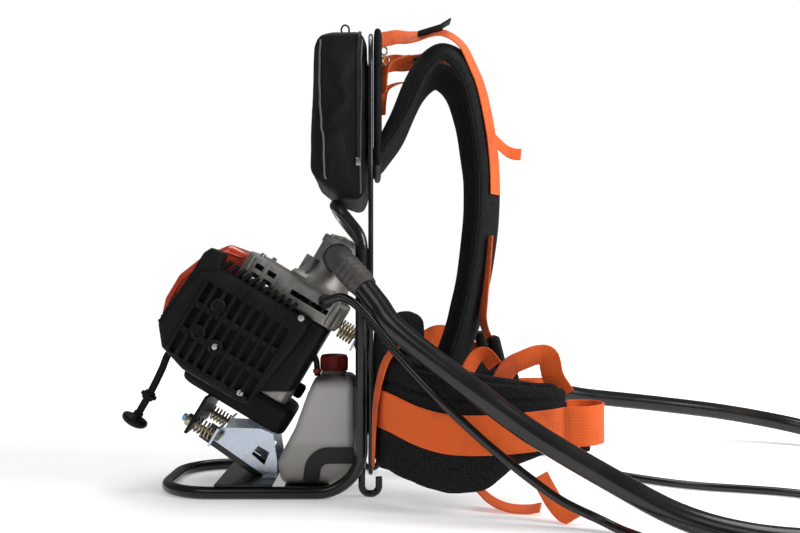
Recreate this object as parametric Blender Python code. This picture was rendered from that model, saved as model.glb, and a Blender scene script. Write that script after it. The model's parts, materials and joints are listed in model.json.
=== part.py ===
"""Backpack concrete vibrator: tube frame, sprung engine, angle gearbox, flexible shaft and harness.

Metres, +Z up, +X the way the wearer faces. Built with x = 0 near the back hoop, then moved at the end
so that the origin lies on the floor under the middle of the standing pieces.
"""
import math

import bmesh
import bpy
from mathutils import Matrix, Vector

GAP = 0.0003                      # clearance between touching pieces

# Carrying frame
TUBE_R = 0.008
FRAME_HALF_WIDTH = 0.100          # upright tubes, from the middle plane to the tube's centre
UPRIGHT_X = -0.0176
BASE_BACK_X = -0.278              # the base loop's rear cross run
BASE_BEND_R = 0.057
LOOP_BEND_R = 0.070
SHOULDER_Z = 0.332                # where the uprights lean back under the bag
BAG_REST = (-0.052, 0.3758)       # x and z of the cross run that the bag sits on
BAG_REST_HALF_WIDTH = 0.088
HOOP_R = 0.003
HOOP_X = UPRIGHT_X + TUBE_R + HOOP_R + GAP
HOOP_TOP_Z = 0.603
HOOP_BOTTOM_Z = 0.030
CROSS_R = 0.007
CROSS_Z = 0.196
FOOT_R = 0.0045

# Engine axes: x towards the crankcase's bottom, y away from the muffler, z along the crankshaft
ENGINE_TILT = math.radians(30.9)
ENGINE_ORIGIN = Vector((-0.0697, 0.0, 0.2801))

# Spring mounts
SPRING_WIRE_R = 0.0013
SPRING_R = 0.0095
SPRING_TURNS = 5.5
MOUNT_BOLT_R = 0.003
UPPER_MOUNT_Y = 0.052
UPPER_MOUNT_Z = -0.0454
LOWER_MOUNT_Y = 0.060
LOWER_MOUNT_Z = -0.248
PLATE = 0.003

# Fuel tank
TANK_HALF_WIDTH = 0.075
TANK_WALL = 0.0025
NECK_R = 0.0155
NECK_TOP_Z = 0.1745
CAP_R = 0.0195
CAP_HEIGHT = 0.022

for leftover in list(bpy.data.objects):
    bpy.data.objects.remove(leftover, do_unlink=True)


def new_collection(name):
    made = bpy.data.collections.new(name)
    bpy.context.scene.collection.children.link(made)
    return made


PARTS = new_collection("concrete_vibrator")
CUTTERS = new_collection("cutters")


def material(name, colour, roughness, metallic=0.0):
    made = bpy.data.materials.new(name)
    made.use_nodes = True
    shader = made.node_tree.nodes["Principled BSDF"]
    shader.inputs["Base Color"].default_value = (*colour, 1)
    shader.inputs["Roughness"].default_value = roughness
    shader.inputs["Metallic"].default_value = metallic
    return made


GLOSS_BLACK = material("gloss_black_paint", (0.008, 0.008, 0.009), 0.25)
BLACK_PLASTIC = material("black_plastic", (0.012, 0.012, 0.012), 0.55)
RED_PLASTIC = material("red_plastic", (0.52, 0.045, 0.012), 0.25)
CAST_ALUMINIUM = material("cast_aluminium", (0.16, 0.15, 0.14), 0.5, 0.6)
DARK_GREY = material("dark_grey_plastic", (0.06, 0.055, 0.05), 0.4)
STEEL = material("bright_steel", (0.42, 0.42, 0.42), 0.3, 1.0)
ZINC = material("zinc_plate", (0.42, 0.47, 0.57), 0.3, 0.9)
YELLOW_ZINC = material("yellow_zinc", (0.42, 0.36, 0.17), 0.35, 0.9)
TANK_PLASTIC = material("translucent_polyethylene", (0.33, 0.32, 0.30), 0.4)
CAP_RED = material("cap_red", (0.16, 0.01, 0.006), 0.4)
RUBBER = material("black_rubber", (0.01, 0.01, 0.01), 0.45)
BLACK_CLOTH = material("black_cloth", (0.008, 0.008, 0.009), 0.9)
ORANGE_WEB = material("orange_webbing", (1.0, 0.14, 0.025), 0.8)


def placed(obj, skin, parent=None, collection=None):
    """Files an object under its collection, gives it its material and hangs it on its parent."""
    for held in list(obj.users_collection):
        held.objects.unlink(obj)
    (collection or PARTS).objects.link(obj)
    obj.data.materials.clear()
    obj.data.materials.append(skin)
    if parent:
        obj.parent = parent
    return obj


def axes(name, origin, rotation):
    made = bpy.data.objects.new(name, None)
    made.location = origin
    made.rotation_mode = "QUATERNION"
    made.rotation_quaternion = rotation
    PARTS.objects.link(made)
    return made


def from_bmesh(name, bm, skin, parent=None, smooth_angle=35):
    mesh = bpy.data.meshes.new(name)
    bmesh.ops.recalc_face_normals(bm, faces=bm.faces)
    bm.to_mesh(mesh)
    bm.free()
    mesh.shade_smooth()
    mesh.set_sharp_from_angle(angle=math.radians(smooth_angle))
    return placed(bpy.data.objects.new(name, mesh), skin, parent)


def meshed(curve_obj, skin, parent=None):
    """A curve object made a closed mesh, with its caps welded on."""
    name = curve_obj.name
    bpy.context.scene.collection.objects.link(curve_obj)
    bpy.context.view_layer.update()
    solid = curve_obj.evaluated_get(bpy.context.evaluated_depsgraph_get())
    mesh = bpy.data.meshes.new_from_object(solid)
    bpy.data.objects.remove(curve_obj)
    bm = bmesh.new()
    bm.from_mesh(mesh)
    bmesh.ops.remove_doubles(bm, verts=bm.verts, dist=0.00001)
    return from_bmesh(name, bm, skin, parent)


def tube(name, points, radius, skin, parent=None, closed=False, resolution=2, radii=None):
    curve = bpy.data.curves.new(name, "CURVE")
    curve.dimensions = "3D"
    curve.bevel_depth = radius
    curve.bevel_resolution = resolution
    curve.use_fill_caps = not closed
    spline = curve.splines.new("POLY")
    spline.points.add(len(points) - 1)
    for i, p in enumerate(points):
        spline.points[i].co = (*p, 1)
        spline.points[i].radius = radii[i] if radii else 1
    spline.use_cyclic_u = closed
    return meshed(bpy.data.objects.new(name, curve), skin, parent)


def extruded(name, outline, half, skin, parent=None, rounding=0.0, steps=2):
    """A flat outline in x and y, thickened by half each way along z, with rounded rims."""
    curve = bpy.data.curves.new(name, "CURVE")
    curve.dimensions = "2D"
    curve.fill_mode = "BOTH"
    curve.extrude = half - rounding
    curve.bevel_depth = rounding
    curve.bevel_resolution = steps - 1
    curve.offset = -rounding
    spline = curve.splines.new("POLY")
    spline.points.add(len(outline) - 1)
    for i, p in enumerate(outline):
        spline.points[i].co = (p[0], p[1], 0, 1)
    spline.use_cyclic_u = True
    return meshed(bpy.data.objects.new(name, curve), skin, parent)


def shaped(obj, matrix):
    """Turns or shifts a mesh inside its own object."""
    obj.data.transform(matrix)
    return obj


def upright_outline(obj, y=0.0):
    """Stands a flat outline up, so that its x and y become x and z, at a depth y."""
    return shaped(obj, Matrix.Translation((0, y, 0)) @ Matrix.Rotation(math.pi / 2, 4, "X"))


def turned(name, profile, skin, parent=None, steps=24, matrix=None):
    """A profile of (radius, z) points, from the top axis point down its outer side, spun about z."""
    bm = bmesh.new()
    verts = [bm.verts.new((r, 0, z)) for r, z in profile]
    edges = [bm.edges.new(pair) for pair in zip(verts, verts[1:])]
    bmesh.ops.spin(bm, geom=verts + edges, cent=(0, 0, 0), axis=(0, 0, 1),
                   angle=math.tau, steps=steps, use_merge=True)
    bmesh.ops.remove_doubles(bm, verts=bm.verts, dist=0.000001)
    obj = from_bmesh(name, bm, skin, parent)
    return shaped(obj, matrix) if matrix else obj


def block(name, low, high, skin, parent=None, bevel=0.0, segments=2):
    bm = bmesh.new()
    bmesh.ops.create_cube(bm, size=1)
    size = Vector(high) - Vector(low)
    bmesh.ops.scale(bm, vec=size, verts=bm.verts)
    bmesh.ops.translate(bm, vec=(Vector(high) + Vector(low)) / 2, verts=bm.verts)
    if bevel:
        bmesh.ops.bevel(bm, geom=bm.edges[:] + bm.verts[:], offset=bevel, segments=segments,
                        affect="EDGES", profile=0.5)
    return from_bmesh(name, bm, skin, parent)


def between(start, end):
    """Puts a shape that stands on z at start, pointing to end."""
    run = Vector(end) - Vector(start)
    return Matrix.Translation(start) @ run.to_track_quat("Z", "Y").to_matrix().to_4x4()


def rod(name, start, end, radius, skin, parent=None, steps=16):
    length = (Vector(end) - Vector(start)).length
    profile = [(0, length), (radius, length), (radius, 0), (0, 0)]
    return turned(name, profile, skin, parent, steps, between(start, end))


def combined(obj, tools, operation):
    """Cuts tools out of an object, or joins them to it, and files them with the cutters."""
    for tool in tools:
        placed(tool, BLACK_PLASTIC, collection=CUTTERS)
        tool.hide_render = True
        tool.display_type = "WIRE"
        step = obj.modifiers.new(tool.name, "BOOLEAN")
        step.operation = operation
        step.solver = "EXACT"
        step.object = tool
    return obj


def cut(obj, *tools):
    return combined(obj, tools, "DIFFERENCE")


def joined(obj, *tools):
    return combined(obj, tools, "UNION")


def bent(corners, radii, steps=4, closed=False):
    """Points along straight runs between corners, with an arc of the given radius at each bend."""
    corners = [Vector(c) for c in corners]
    count = len(corners)
    points = []
    for i, corner in enumerate(corners):
        if not closed and i in (0, count - 1):
            points.append(corner)
            continue
        back = (corners[i - 1] - corner).normalized()
        ahead = (corners[(i + 1) % count] - corner).normalized()
        half = back.angle(ahead) / 2
        reach = radii[i] / math.tan(half)
        centre = corner + (back + ahead).normalized() * (radii[i] / math.sin(half))
        first = corner + back * reach - centre
        last = corner + ahead * reach - centre
        sweep = first.angle(last)
        for k in range(steps + 1):
            t = k / steps
            arm = first * math.sin((1 - t) * sweep) + last * math.sin(t * sweep)
            points.append(centre + arm / math.sin(sweep))
    return points


def rounded(corners, radius, steps=3):
    """A flat outline with every corner rounded."""
    flat = [(x, y, 0) for x, y in corners]
    return [(p.x, p.y) for p in bent(flat, [radius] * len(flat), steps, closed=True)]


def smooth(points, count):
    """Evenly many points on a smooth curve through the given ones."""
    points = [Vector(p) for p in points]
    ends = [2 * points[0] - points[1], *points, 2 * points[-1] - points[-2]]
    made = []
    for k in range(count):
        t = k / (count - 1) * (len(points) - 1)
        i = min(int(t), len(points) - 2)
        f = t - i
        a, b, c, d = ends[i:i + 4]
        made.append(b + (c - a) * f / 2 + (a - b * 2.5 + c * 2 - d / 2) * f * f
                    + (b * 1.5 - a / 2 - c * 1.5 + d / 2) * f ** 3)
    return made


def mirrored(points):
    return [(x, -y, z) for x, y, z in points]


engine = axes("engine_axes", ENGINE_ORIGIN, Matrix.Rotation(ENGINE_TILT, 3, "Y").to_quaternion())


def in_world(x, y, z):
    """A point of the engine's axes in world coordinates."""
    return ENGINE_ORIGIN + Matrix.Rotation(ENGINE_TILT, 3, "Y") @ Vector((x, y, z))


def in_engine(point):
    return Matrix.Rotation(-ENGINE_TILT, 3, "Y") @ (Vector(point) - ENGINE_ORIGIN)


# Carrying frame: one bent tube, the back hoop, its feet and the cross tube


def frame_tube():
    side = [
        (BAG_REST[0], -BAG_REST_HALF_WIDTH, BAG_REST[1]),
        (UPRIGHT_X, -FRAME_HALF_WIDTH, SHOULDER_Z),
        (UPRIGHT_X, -FRAME_HALF_WIDTH, TUBE_R),
        (BASE_BACK_X, -FRAME_HALF_WIDTH, TUBE_R),
    ]
    radii = [0.026, 0.040, BASE_BEND_R, LOOP_BEND_R]
    corners = side + mirrored(side[::-1])
    tube("frame_tube", bent(corners, radii + radii[::-1], closed=True), TUBE_R, GLOSS_BLACK, closed=True)


def back_hoop():
    corners = [(HOOP_X, s * FRAME_HALF_WIDTH, z) for s, z in
               ((-1, HOOP_BOTTOM_Z), (-1, HOOP_TOP_Z), (1, HOOP_TOP_Z), (1, HOOP_BOTTOM_Z))]
    tube("back_hoop", bent(corners, [0.02, 0.06, 0.06, 0.02], closed=True), HOOP_R, GLOSS_BLACK, closed=True)


def rear_foot(name, side):
    """A rod hairpin welded inside the upright, which takes the load down to the floor."""
    y = side * (FRAME_HALF_WIDTH - TUBE_R - FOOT_R - GAP)
    corners = [(UPRIGHT_X, y, 0.110), (UPRIGHT_X, y, FOOT_R), (UPRIGHT_X + 0.022, y, FOOT_R),
               (UPRIGHT_X + 0.022, y, 0.026)]
    tube(name, bent(corners, [0, 0.010, 0.010, 0], 4), FOOT_R, GLOSS_BLACK)


def cross_tube():
    reach = FRAME_HALF_WIDTH - TUBE_R - GAP
    rod("cross_tube", (UPRIGHT_X, -reach, CROSS_Z), (UPRIGHT_X, reach, CROSS_Z), CROSS_R, GLOSS_BLACK)


frame_tube()
back_hoop()
rear_foot("rear_foot_near", -1)
rear_foot("rear_foot_far", 1)
cross_tube()

# Fuel: a blow-moulded tank between the uprights, its screw cap and its strap


TANK_SIDE = [(-0.027, 0.0125), (-0.1225, 0.0125), (-0.1285, 0.040), (-0.1060, 0.083),
             (-0.0890, 0.130), (-0.0800, 0.1485), (-0.027, 0.1485)]
NECK_X = -0.0570


def fuel_tank():
    tank = upright_outline(extruded("fuel_tank", rounded(TANK_SIDE, 0.008), TANK_HALF_WIDTH,
                                    TANK_PLASTIC, rounding=0.012))
    neck = rod("tank_neck", (NECK_X, 0, 0.1450), (NECK_X, 0, NECK_TOP_Z), NECK_R, TANK_PLASTIC)
    inside = [(x + TANK_WALL * (1 if x < -0.05 else -1), z + TANK_WALL * (1 if z < 0.03 else -1))
              for x, z in TANK_SIDE]
    hollow = upright_outline(extruded("tank_hollow", rounded(inside, 0.006),
                                      TANK_HALF_WIDTH - TANK_WALL, TANK_PLASTIC, rounding=0.010))
    bore = rod("tank_bore", (NECK_X, 0, 0.1400), (NECK_X, 0, NECK_TOP_Z + 0.01),
               NECK_R - TANK_WALL, TANK_PLASTIC)
    joined(tank, neck)
    cut(tank, hollow, bore)


def fuel_cap():
    top = NECK_TOP_Z + GAP + 0.003
    inner = NECK_R + GAP
    profile = [(0, top), (CAP_R - 0.002, top), (CAP_R, top - 0.002), (CAP_R, top - CAP_HEIGHT),
               (inner, top - CAP_HEIGHT), (inner, top - 0.003), (0, top - 0.003)]
    cap = turned("fuel_cap", profile, CAP_RED, steps=24)
    cap.location = (NECK_X, 0, 0)


fuel_tank()
fuel_cap()


# Engine block, in the engine's axes
CASE_X = (-0.028, 0.043)
CASE_HALF_WIDTH = 0.055
CASE_Z = (-0.170, -0.0523)
CYLINDER_Z = -0.112
CYLINDER_X = (-0.118, -0.0283)
FIN_R = 0.042
BARREL_R = 0.030
FINS = 6
FAN_Z = (-0.052, -0.015)
FAN_X = (-0.0997, 0.050)
FAN_HALF_WIDTH = 0.085
RECOIL_Z = (-0.208, -0.1703)
RECOIL_X = (-0.096, 0.060)
RECOIL_HALF_WIDTH = 0.060
MUFFLER_COVER_Y = (-0.122, -0.062)
COVER_WALL = 0.003
CRANK_R = 0.006
FLYWHEEL_R = 0.043
DRUM_R = 0.0275
DRUM_WALL = 0.002
GEARBOX_Z = 0.034                 # where the crank axis and the output axis cross


def lifted(obj, z):
    return shaped(obj, Matrix.Translation((0, 0, z)))


def slab(name, outline, z_range, skin, rounding=0.0, parent=engine, steps=2):
    """A flat outline in the engine's x and y, between two heights along the crankshaft."""
    half = (z_range[1] - z_range[0]) / 2
    return lifted(extruded(name, outline, half, skin, parent, rounding, steps), z_range[0] + half)


def rectangle(xs, ys):
    return [(xs[0], ys[0]), (xs[1], ys[0]), (xs[1], ys[1]), (xs[0], ys[1])]


def crankcase():
    outline = rounded(rectangle(CASE_X, (-CASE_HALF_WIDTH, CASE_HALF_WIDTH)), 0.014)
    case = slab("crankcase", outline, CASE_Z, CAST_ALUMINIUM, 0.004)
    bore = rod("crank_bore", (0, 0, CASE_Z[1] - 0.025), (0, 0, CASE_Z[1] + 0.01), CRANK_R + GAP,
               STEEL, engine)
    cut(case, bore)


def cylinder():
    """The barrel with its cooling fins, turned about the bore's axis."""
    pitch = (CYLINDER_X[1] - CYLINDER_X[0]) / (FINS + 0.5)
    profile = [(0, CYLINDER_X[1])]
    for i in range(FINS + 1):
        top = CYLINDER_X[1] - i * pitch
        profile += [(FIN_R, top), (FIN_R, top - pitch / 2)]
        if i < FINS:
            profile += [(BARREL_R, top - pitch / 2), (BARREL_R, top - pitch)]
    profile.append((0, CYLINDER_X[0]))
    lying = Matrix.Translation((0, 0, CYLINDER_Z)) @ Matrix.Rotation(math.pi / 2, 4, "Y")
    turned("cylinder", profile, CAST_ALUMINIUM, engine, 12, lying)


def rocker_cover():
    block("rocker_cover", (CYLINDER_X[0] - 0.018, -0.030, CYLINDER_Z - 0.034),
          (CYLINDER_X[0] - GAP, 0.030, CYLINDER_Z + 0.034), CAST_ALUMINIUM, engine, 0.004)


def muffler():
    block("muffler", (-0.0985, -0.108, -0.164), (-0.031, -FIN_R - GAP, -0.062), STEEL, engine, 0.010, 3)


COVER_FACE = [(-0.134, -0.070), (-0.110, -0.0525), (0.018, -0.0525), (0.020, -0.075), (0.004, -0.180),
              (-0.010, -0.185), (-0.089, -0.186), (-0.126, -0.175), (-0.144, -0.153), (-0.144, -0.110)]


def inset(outline, wall):
    """An outline drawn in by a wall's thickness on every side."""
    count = len(outline)
    made = []
    for i in range(count):
        here = Vector(outline[i])
        back = (here - Vector(outline[i - 1])).normalized()
        ahead = (Vector(outline[(i + 1) % count]) - here).normalized()
        normal_back = Vector((back.y, -back.x))
        normal_ahead = Vector((ahead.y, -ahead.x))
        share = (normal_back + normal_ahead) / (1 + normal_back.dot(normal_ahead))
        made.append(here + share * wall)
    return [(p.x, p.y) for p in made]


def slot_grid(name, xs, zs, size, depth, y, parent):
    """One cutter for a grid of upright slots: separate boxes in one mesh."""
    bm = bmesh.new()
    for x in xs:
        for z in zs:
            made = bmesh.ops.create_cube(bm, size=1)["verts"]
            bmesh.ops.scale(bm, vec=(size[0], depth, size[1]), verts=made)
            bmesh.ops.translate(bm, vec=(x, y, z), verts=made)
    return from_bmesh(name, bm, BLACK_PLASTIC, parent)


SLOT_COLUMNS = 9
SLOT_PITCH = 0.0135
SLOT_FIRST_X = -0.112
SLOT_ROWS_Z = (-0.160, -0.124, -0.088)
SLOT_SIZE = (0.0075, 0.028)


def muffler_cover():
    low, high = MUFFLER_COVER_Y
    half = (high - low) / 2
    cover = upright_outline(extruded("muffler_cover", COVER_FACE, half, BLACK_PLASTIC, engine, 0.006),
                            (low + high) / 2)
    hollow = upright_outline(extruded("muffler_hollow", inset(COVER_FACE, COVER_WALL), half,
                                      BLACK_PLASTIC, engine), (low + high) / 2 + COVER_WALL)
    columns = [SLOT_FIRST_X + i * SLOT_PITCH for i in range(SLOT_COLUMNS)]
    slots = slot_grid("cover_slots", columns, SLOT_ROWS_Z, SLOT_SIZE, 0.02, low, engine)
    louvres = slot_grid("cover_louvres", [-0.098 + i * 0.0105 for i in range(11)], [-0.0525],
                        (0.006, 0.02), 0.034, (low + high) / 2, engine)
    cut(cover, hollow, slots, louvres)


TOP_COVER_MOUTH_X = -0.100
TOP_COVER_SIDE = [(-0.086, -0.020), (-0.086, -0.169), (-0.127, -0.169), (-0.156, -0.158), (-0.166, -0.128),
                  (-0.166, -0.092), (-0.152, -0.055), (-0.128, -0.022)]
TOP_COVER_Y = (-0.060, 0.090)


def top_cover():
    low, high = TOP_COVER_Y
    half = (high - low) / 2
    middle = (low + high) / 2
    cover = upright_outline(extruded("top_cover", rounded(TOP_COVER_SIDE, 0.012, 2), half, RED_PLASTIC,
                                     engine, 0.010, 3), middle)
    inside = inset(TOP_COVER_SIDE, COVER_WALL)
    mouth_x = TOP_COVER_SIDE[0][0] + 0.02
    inside[:2] = [(mouth_x, z) for _, z in inside[:2]]
    hollow = upright_outline(extruded("top_hollow", inside, half - COVER_WALL, RED_PLASTIC, engine), middle)
    trim = block("top_trim", (TOP_COVER_MOUTH_X, low - 0.01, -0.20), (-0.05, high + 0.01, 0.01),
                 RED_PLASTIC, engine)
    cut(cover, trim, hollow)


def fan_cover():
    outline = rounded(rectangle(FAN_X, (-FAN_HALF_WIDTH, FAN_HALF_WIDTH)), 0.022)
    cover = slab("fan_cover", outline, FAN_Z, CAST_ALUMINIUM, 0.004)
    inner = rounded(rectangle((FAN_X[0] + COVER_WALL, FAN_X[1] - COVER_WALL),
                              (COVER_WALL - FAN_HALF_WIDTH, FAN_HALF_WIDTH - COVER_WALL)), 0.019)
    hollow = slab("fan_hollow", inner, (FAN_Z[0] - 0.01, FAN_Z[1] - COVER_WALL), CAST_ALUMINIUM)
    hole = rod("fan_hole", (0, 0, FAN_Z[1] - 0.01), (0, 0, FAN_Z[1] + 0.01), DRUM_R + 0.003,
               CAST_ALUMINIUM, engine, 24)
    slots = slot_grid("fan_slots", (-0.076, -0.058), (-0.041, -0.028), (0.012, 0.007), 0.03,
                      -FAN_HALF_WIDTH, engine)
    long_slot = slot_grid("fan_long_slot", (0.002,), (-0.034,), (0.055, 0.007), 0.03,
                          -FAN_HALF_WIDTH, engine)
    cut(cover, hollow, hole, slots, long_slot)


def recoil_cover():
    outline = rounded(rectangle(RECOIL_X, (-RECOIL_HALF_WIDTH, RECOIL_HALF_WIDTH)), 0.020)
    slab("recoil_cover", outline, RECOIL_Z, BLACK_PLASTIC, 0.008, steps=3)


def crankshaft():
    rod("crankshaft", (0, 0, CASE_Z[1] - 0.024), (0, 0, 0.004), CRANK_R, STEEL, engine)


BLADES = 12


def flywheel_fan():
    """The flywheel disc with its ring of cooling blades."""
    low, high = FAN_Z[0] + 0.003, FAN_Z[0] + 0.011
    hub = CRANK_R + GAP
    wheel = turned("flywheel_fan", [(hub, high + 0.006), (0.014, high + 0.006), (0.014, high),
                                    (FLYWHEEL_R, high), (FLYWHEEL_R, low), (hub, low),
                                    (hub, high + 0.006)], CAST_ALUMINIUM, engine, 24)
    bm = bmesh.new()
    for i in range(BLADES):
        made = bmesh.ops.create_cube(bm, size=1)["verts"]
        bmesh.ops.scale(bm, vec=(0.018, 0.0025, 0.016), verts=made)
        bmesh.ops.translate(bm, vec=(FLYWHEEL_R - 0.012, 0, high + 0.006), verts=made)
        turn = Matrix.Rotation(i * math.tau / BLADES, 3, "Z")
        bmesh.ops.rotate(bm, cent=(0, 0, 0), matrix=turn, verts=made)
    joined(wheel, from_bmesh("fan_blades", bm, CAST_ALUMINIUM, engine))


def clutch_hub():
    hub = CRANK_R + GAP
    radius = DRUM_R - DRUM_WALL - 0.0015
    wheel = turned("clutch_shoes", [(hub, 0.003), (radius, 0.003), (radius, -0.012), (hub, -0.012),
                                    (hub, 0.003)], STEEL, engine, 24)
    cut(wheel, slot_grid("shoe_split", (0.0165, -0.0165), (-0.0045,), (0.017, 0.03), 0.003, 0, engine))


def air_cleaner():
    block("air_cleaner", (-0.098, CASE_HALF_WIDTH + 0.026 + GAP, -0.165), (0.010, 0.122, -0.056),
          BLACK_PLASTIC, engine, 0.012, 3)


def carburettor():
    block("carburettor", (-0.088, FIN_R + GAP, -0.140), (-0.046, CASE_HALF_WIDTH + 0.026, -0.090),
          CAST_ALUMINIUM, engine, 0.004)


def spark_plug_cap():
    """The rubber boot over the plug, on the far side of the head."""
    start = (CYLINDER_X[0] - 0.009, 0.0303, CYLINDER_Z)
    points = bent([start, (start[0], 0.050, start[2]), (start[0], 0.050, start[2] + 0.030)], [0, 0.010, 0], 4)
    tube("spark_plug_cap", points, 0.007, RUBBER, engine)


def oil_cap():
    seat = Vector((CASE_X[1] + GAP, 0.030, -0.153))
    profile = [(0, 0.011), (0.007, 0.011), (0.011, 0.008), (0.011, 0.000), (0, 0.000)]
    cap = turned("oil_cap", profile, BLACK_PLASTIC, engine, 12, Matrix.Rotation(math.pi / 2, 4, "Y"))
    cap.location = seat


for make in (crankcase, cylinder, rocker_cover, muffler, muffler_cover, top_cover, fan_cover, recoil_cover,
             crankshaft, flywheel_fan, clutch_hub, air_cleaner, carburettor, spark_plug_cap, oil_cap):
    make()

# Angle gearbox: clutch drum and pinion on the crank axis, output gear on the slanted axis
OUTPUT_LEAN = math.radians(4.0)   # how far the output points below the wearer's side, about the crank axis
GEAR_R = 0.022                    # cone distance of both bevel gears
PINION_TEETH = 15
GEAR_TEETH = 12
TOOTH_WIDTH = 0.36                # share of the pitch that a tooth fills
TOOTH_UP = 0.0011
TOOTH_DOWN = 0.0016
FACE_SHARE = 0.62                 # where the teeth end, as a share of the cone distance
SHAFT_R = 0.005
BORE_R = 0.0235
BOSS_R = 0.0172
OUTPUT_BORE_R = 0.0125
SLEEVE_R = 0.0170
BOSS_END = 0.0402
CASING_R = 0.0135
SLEEVE_END = Vector((-0.0160, -0.1450, 0.2720))
SLEEVE_END_RUN = Vector((0.55, -0.45, -0.70)).normalized()

gear_centre = in_world(0, 0, GEARBOX_Z)
OUTPUT_RUN = in_world(math.sin(OUTPUT_LEAN), -math.cos(OUTPUT_LEAN), 0) - ENGINE_ORIGIN
output = axes("output_axes", gear_centre, OUTPUT_RUN.to_track_quat("Z", "Y"))
crank_run = (in_world(0, 0, 1) - in_world(0, 0, 0)).normalized()
shaft_angle = OUTPUT_RUN.angle(-crank_run)


def pitch_angle(own, other):
    return math.atan2(math.sin(shaft_angle), other / own + math.cos(shaft_angle))


def bevel_gear(name, own, other, parent, matrix, phase):
    """A bevel gear on a ball of radius GEAR_R about the apex; its cone opens along +z."""
    pitch = pitch_angle(own, other)
    step = math.tau / own
    outline = []
    for i in range(own):
        for share, rise in ((-0.62, -TOOTH_DOWN), (-0.5, TOOTH_UP), (0.5, TOOTH_UP), (0.62, -TOOTH_DOWN)):
            width = TOOTH_WIDTH * (1.25 if rise < 0 else 0.8)
            outline.append((phase + (i + share * width) * step, pitch + rise / GEAR_R))
    bm = bmesh.new()
    rings = []
    for reach in (GEAR_R, GEAR_R * FACE_SHARE):
        rings.append([bm.verts.new((reach * math.sin(p) * math.cos(a), reach * math.sin(p) * math.sin(a),
                                    reach * math.cos(p))) for a, p in outline])
    count = len(outline)
    for i in range(count):
        k = (i + 1) % count
        bm.faces.new((rings[0][i], rings[0][k], rings[1][k], rings[1][i]))
    for ring, reach in ((rings[0], GEAR_R), (rings[1], GEAR_R * FACE_SHARE)):
        hub = bm.verts.new((0, 0, reach * math.cos(pitch)))
        for i in range(count):
            bm.faces.new((ring[i], ring[(i + 1) % count], hub))
    return shaped(from_bmesh(name, bm, STEEL, parent), matrix)


FLIP = Matrix.Rotation(math.pi, 4, "X")


def mesh_phase(axis_frame, own, tooth_in_mesh):
    """The turn that brings a tooth, or a gap, to the line where the two gears meet."""
    other_axis = -crank_run if axis_frame is output else OUTPUT_RUN
    local = axis_frame.rotation_quaternion.inverted() @ other_axis
    angle = math.atan2(local.y, local.x) if axis_frame is output else math.atan2(-local.y, local.x)
    return angle + (0 if tooth_in_mesh else math.pi / own)


def clutch_drum():
    """The drum that the clutch shoes grip, with the drive pinion on its spindle."""
    floor = 0.0045
    top = floor + 0.0025
    profile = [(0, top), (DRUM_R, top), (DRUM_R, -0.0130), (DRUM_R - DRUM_WALL, -0.0130),
               (DRUM_R - DRUM_WALL, floor), (0, floor)]
    drum = turned("clutch_drum", profile, STEEL, engine, 24)
    pinion = bevel_gear("drive_pinion", PINION_TEETH, GEAR_TEETH, engine,
                        Matrix.Translation((0, 0, GEARBOX_Z)) @ FLIP, mesh_phase(engine, PINION_TEETH, True))
    spindle = rod("pinion_spindle", (0, 0, floor + 0.001), (0, 0, GEARBOX_Z - GEAR_R * 0.6), SHAFT_R,
                  STEEL, engine)
    joined(drum, spindle, pinion)


def output_gear():
    gear = bevel_gear("output_gear", GEAR_TEETH, PINION_TEETH, output, Matrix.Identity(4),
                      mesh_phase(output, GEAR_TEETH, False))
    spindle = rod("gear_spindle", (0, 0, GEAR_R * 0.7), (0, 0, BOSS_END - 0.001), SHAFT_R, STEEL, output)
    joined(gear, spindle)


def bearing(name, parent, z_range, outer):
    inner = SHAFT_R + GAP
    turned(name, [(inner, z_range[1]), (outer - GAP, z_range[1]), (outer - GAP, z_range[0]),
                  (inner, z_range[0]), (inner, z_range[1])], STEEL, parent, 24)


HOUSING_TOP = 0.052
HOUSING_R = 0.030


def gearbox_housing():
    low = FAN_Z[1] + GAP
    web = 0.0105
    profile = [(0, HOUSING_TOP), (HOUSING_R + 0.002, HOUSING_TOP), (HOUSING_R + 0.002, HOUSING_TOP - 0.006),
               (HOUSING_R, HOUSING_TOP - 0.008), (HOUSING_R, 0.016), (0.0345, 0.006), (0.040, -0.006),
               (0.046, low + 0.004), (0.046, low), (0, low)]
    housing = turned("gearbox_housing", profile, CAST_ALUMINIUM, engine, 24)
    boss = turned("output_boss", [(0, BOSS_END), (BOSS_R, BOSS_END), (BOSS_R, 0.020), (0, 0.020)],
                  CAST_ALUMINIUM, output, 24)
    bore = rod("output_bore", (0, 0, 0.010), (0, 0, 0.060), OUTPUT_BORE_R, CAST_ALUMINIUM, output, 24)
    drum_room = rod("drum_room", (0, 0, low - 0.010), (0, 0, web), DRUM_R + 0.002, CAST_ALUMINIUM, engine, 24)
    gear_room = rod("gear_room", (0, 0, web - 0.002), (0, 0, HOUSING_TOP + 0.010), BORE_R + GAP,
                    CAST_ALUMINIUM, engine, 24)
    joined(housing, boss)
    cut(housing, drum_room, gear_room, bore)


def gearbox_cap():
    low = HOUSING_TOP + GAP
    radius = HOUSING_R + 0.002
    profile = [(0, low + 0.011), (0.012, low + 0.010), (0.022, low + 0.0065), (radius - 0.004, low + 0.004),
               (radius, low + 0.003), (radius, low), (0, low)]
    turned("gearbox_cap", profile, CAST_ALUMINIUM, engine, 24)


def output_sleeve():
    """The rubber boot that leads the casing round the upright tube."""
    start = gear_centre + OUTPUT_RUN * (BOSS_END + GAP)
    route = [start + OUTPUT_RUN * 0.008, gear_centre + OUTPUT_RUN * 0.085, (-0.0380, -0.1250, 0.2960),
             SLEEVE_END]
    points = [start, *smooth(route, 11), SLEEVE_END + SLEEVE_END_RUN * 0.006]
    radii = [1.12, 1.12, 1.0] + [1.0] * 8 + [0.98, 0.90]
    tube("output_sleeve", points, SLEEVE_R, DARK_GREY, radii=radii, resolution=3)


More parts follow.
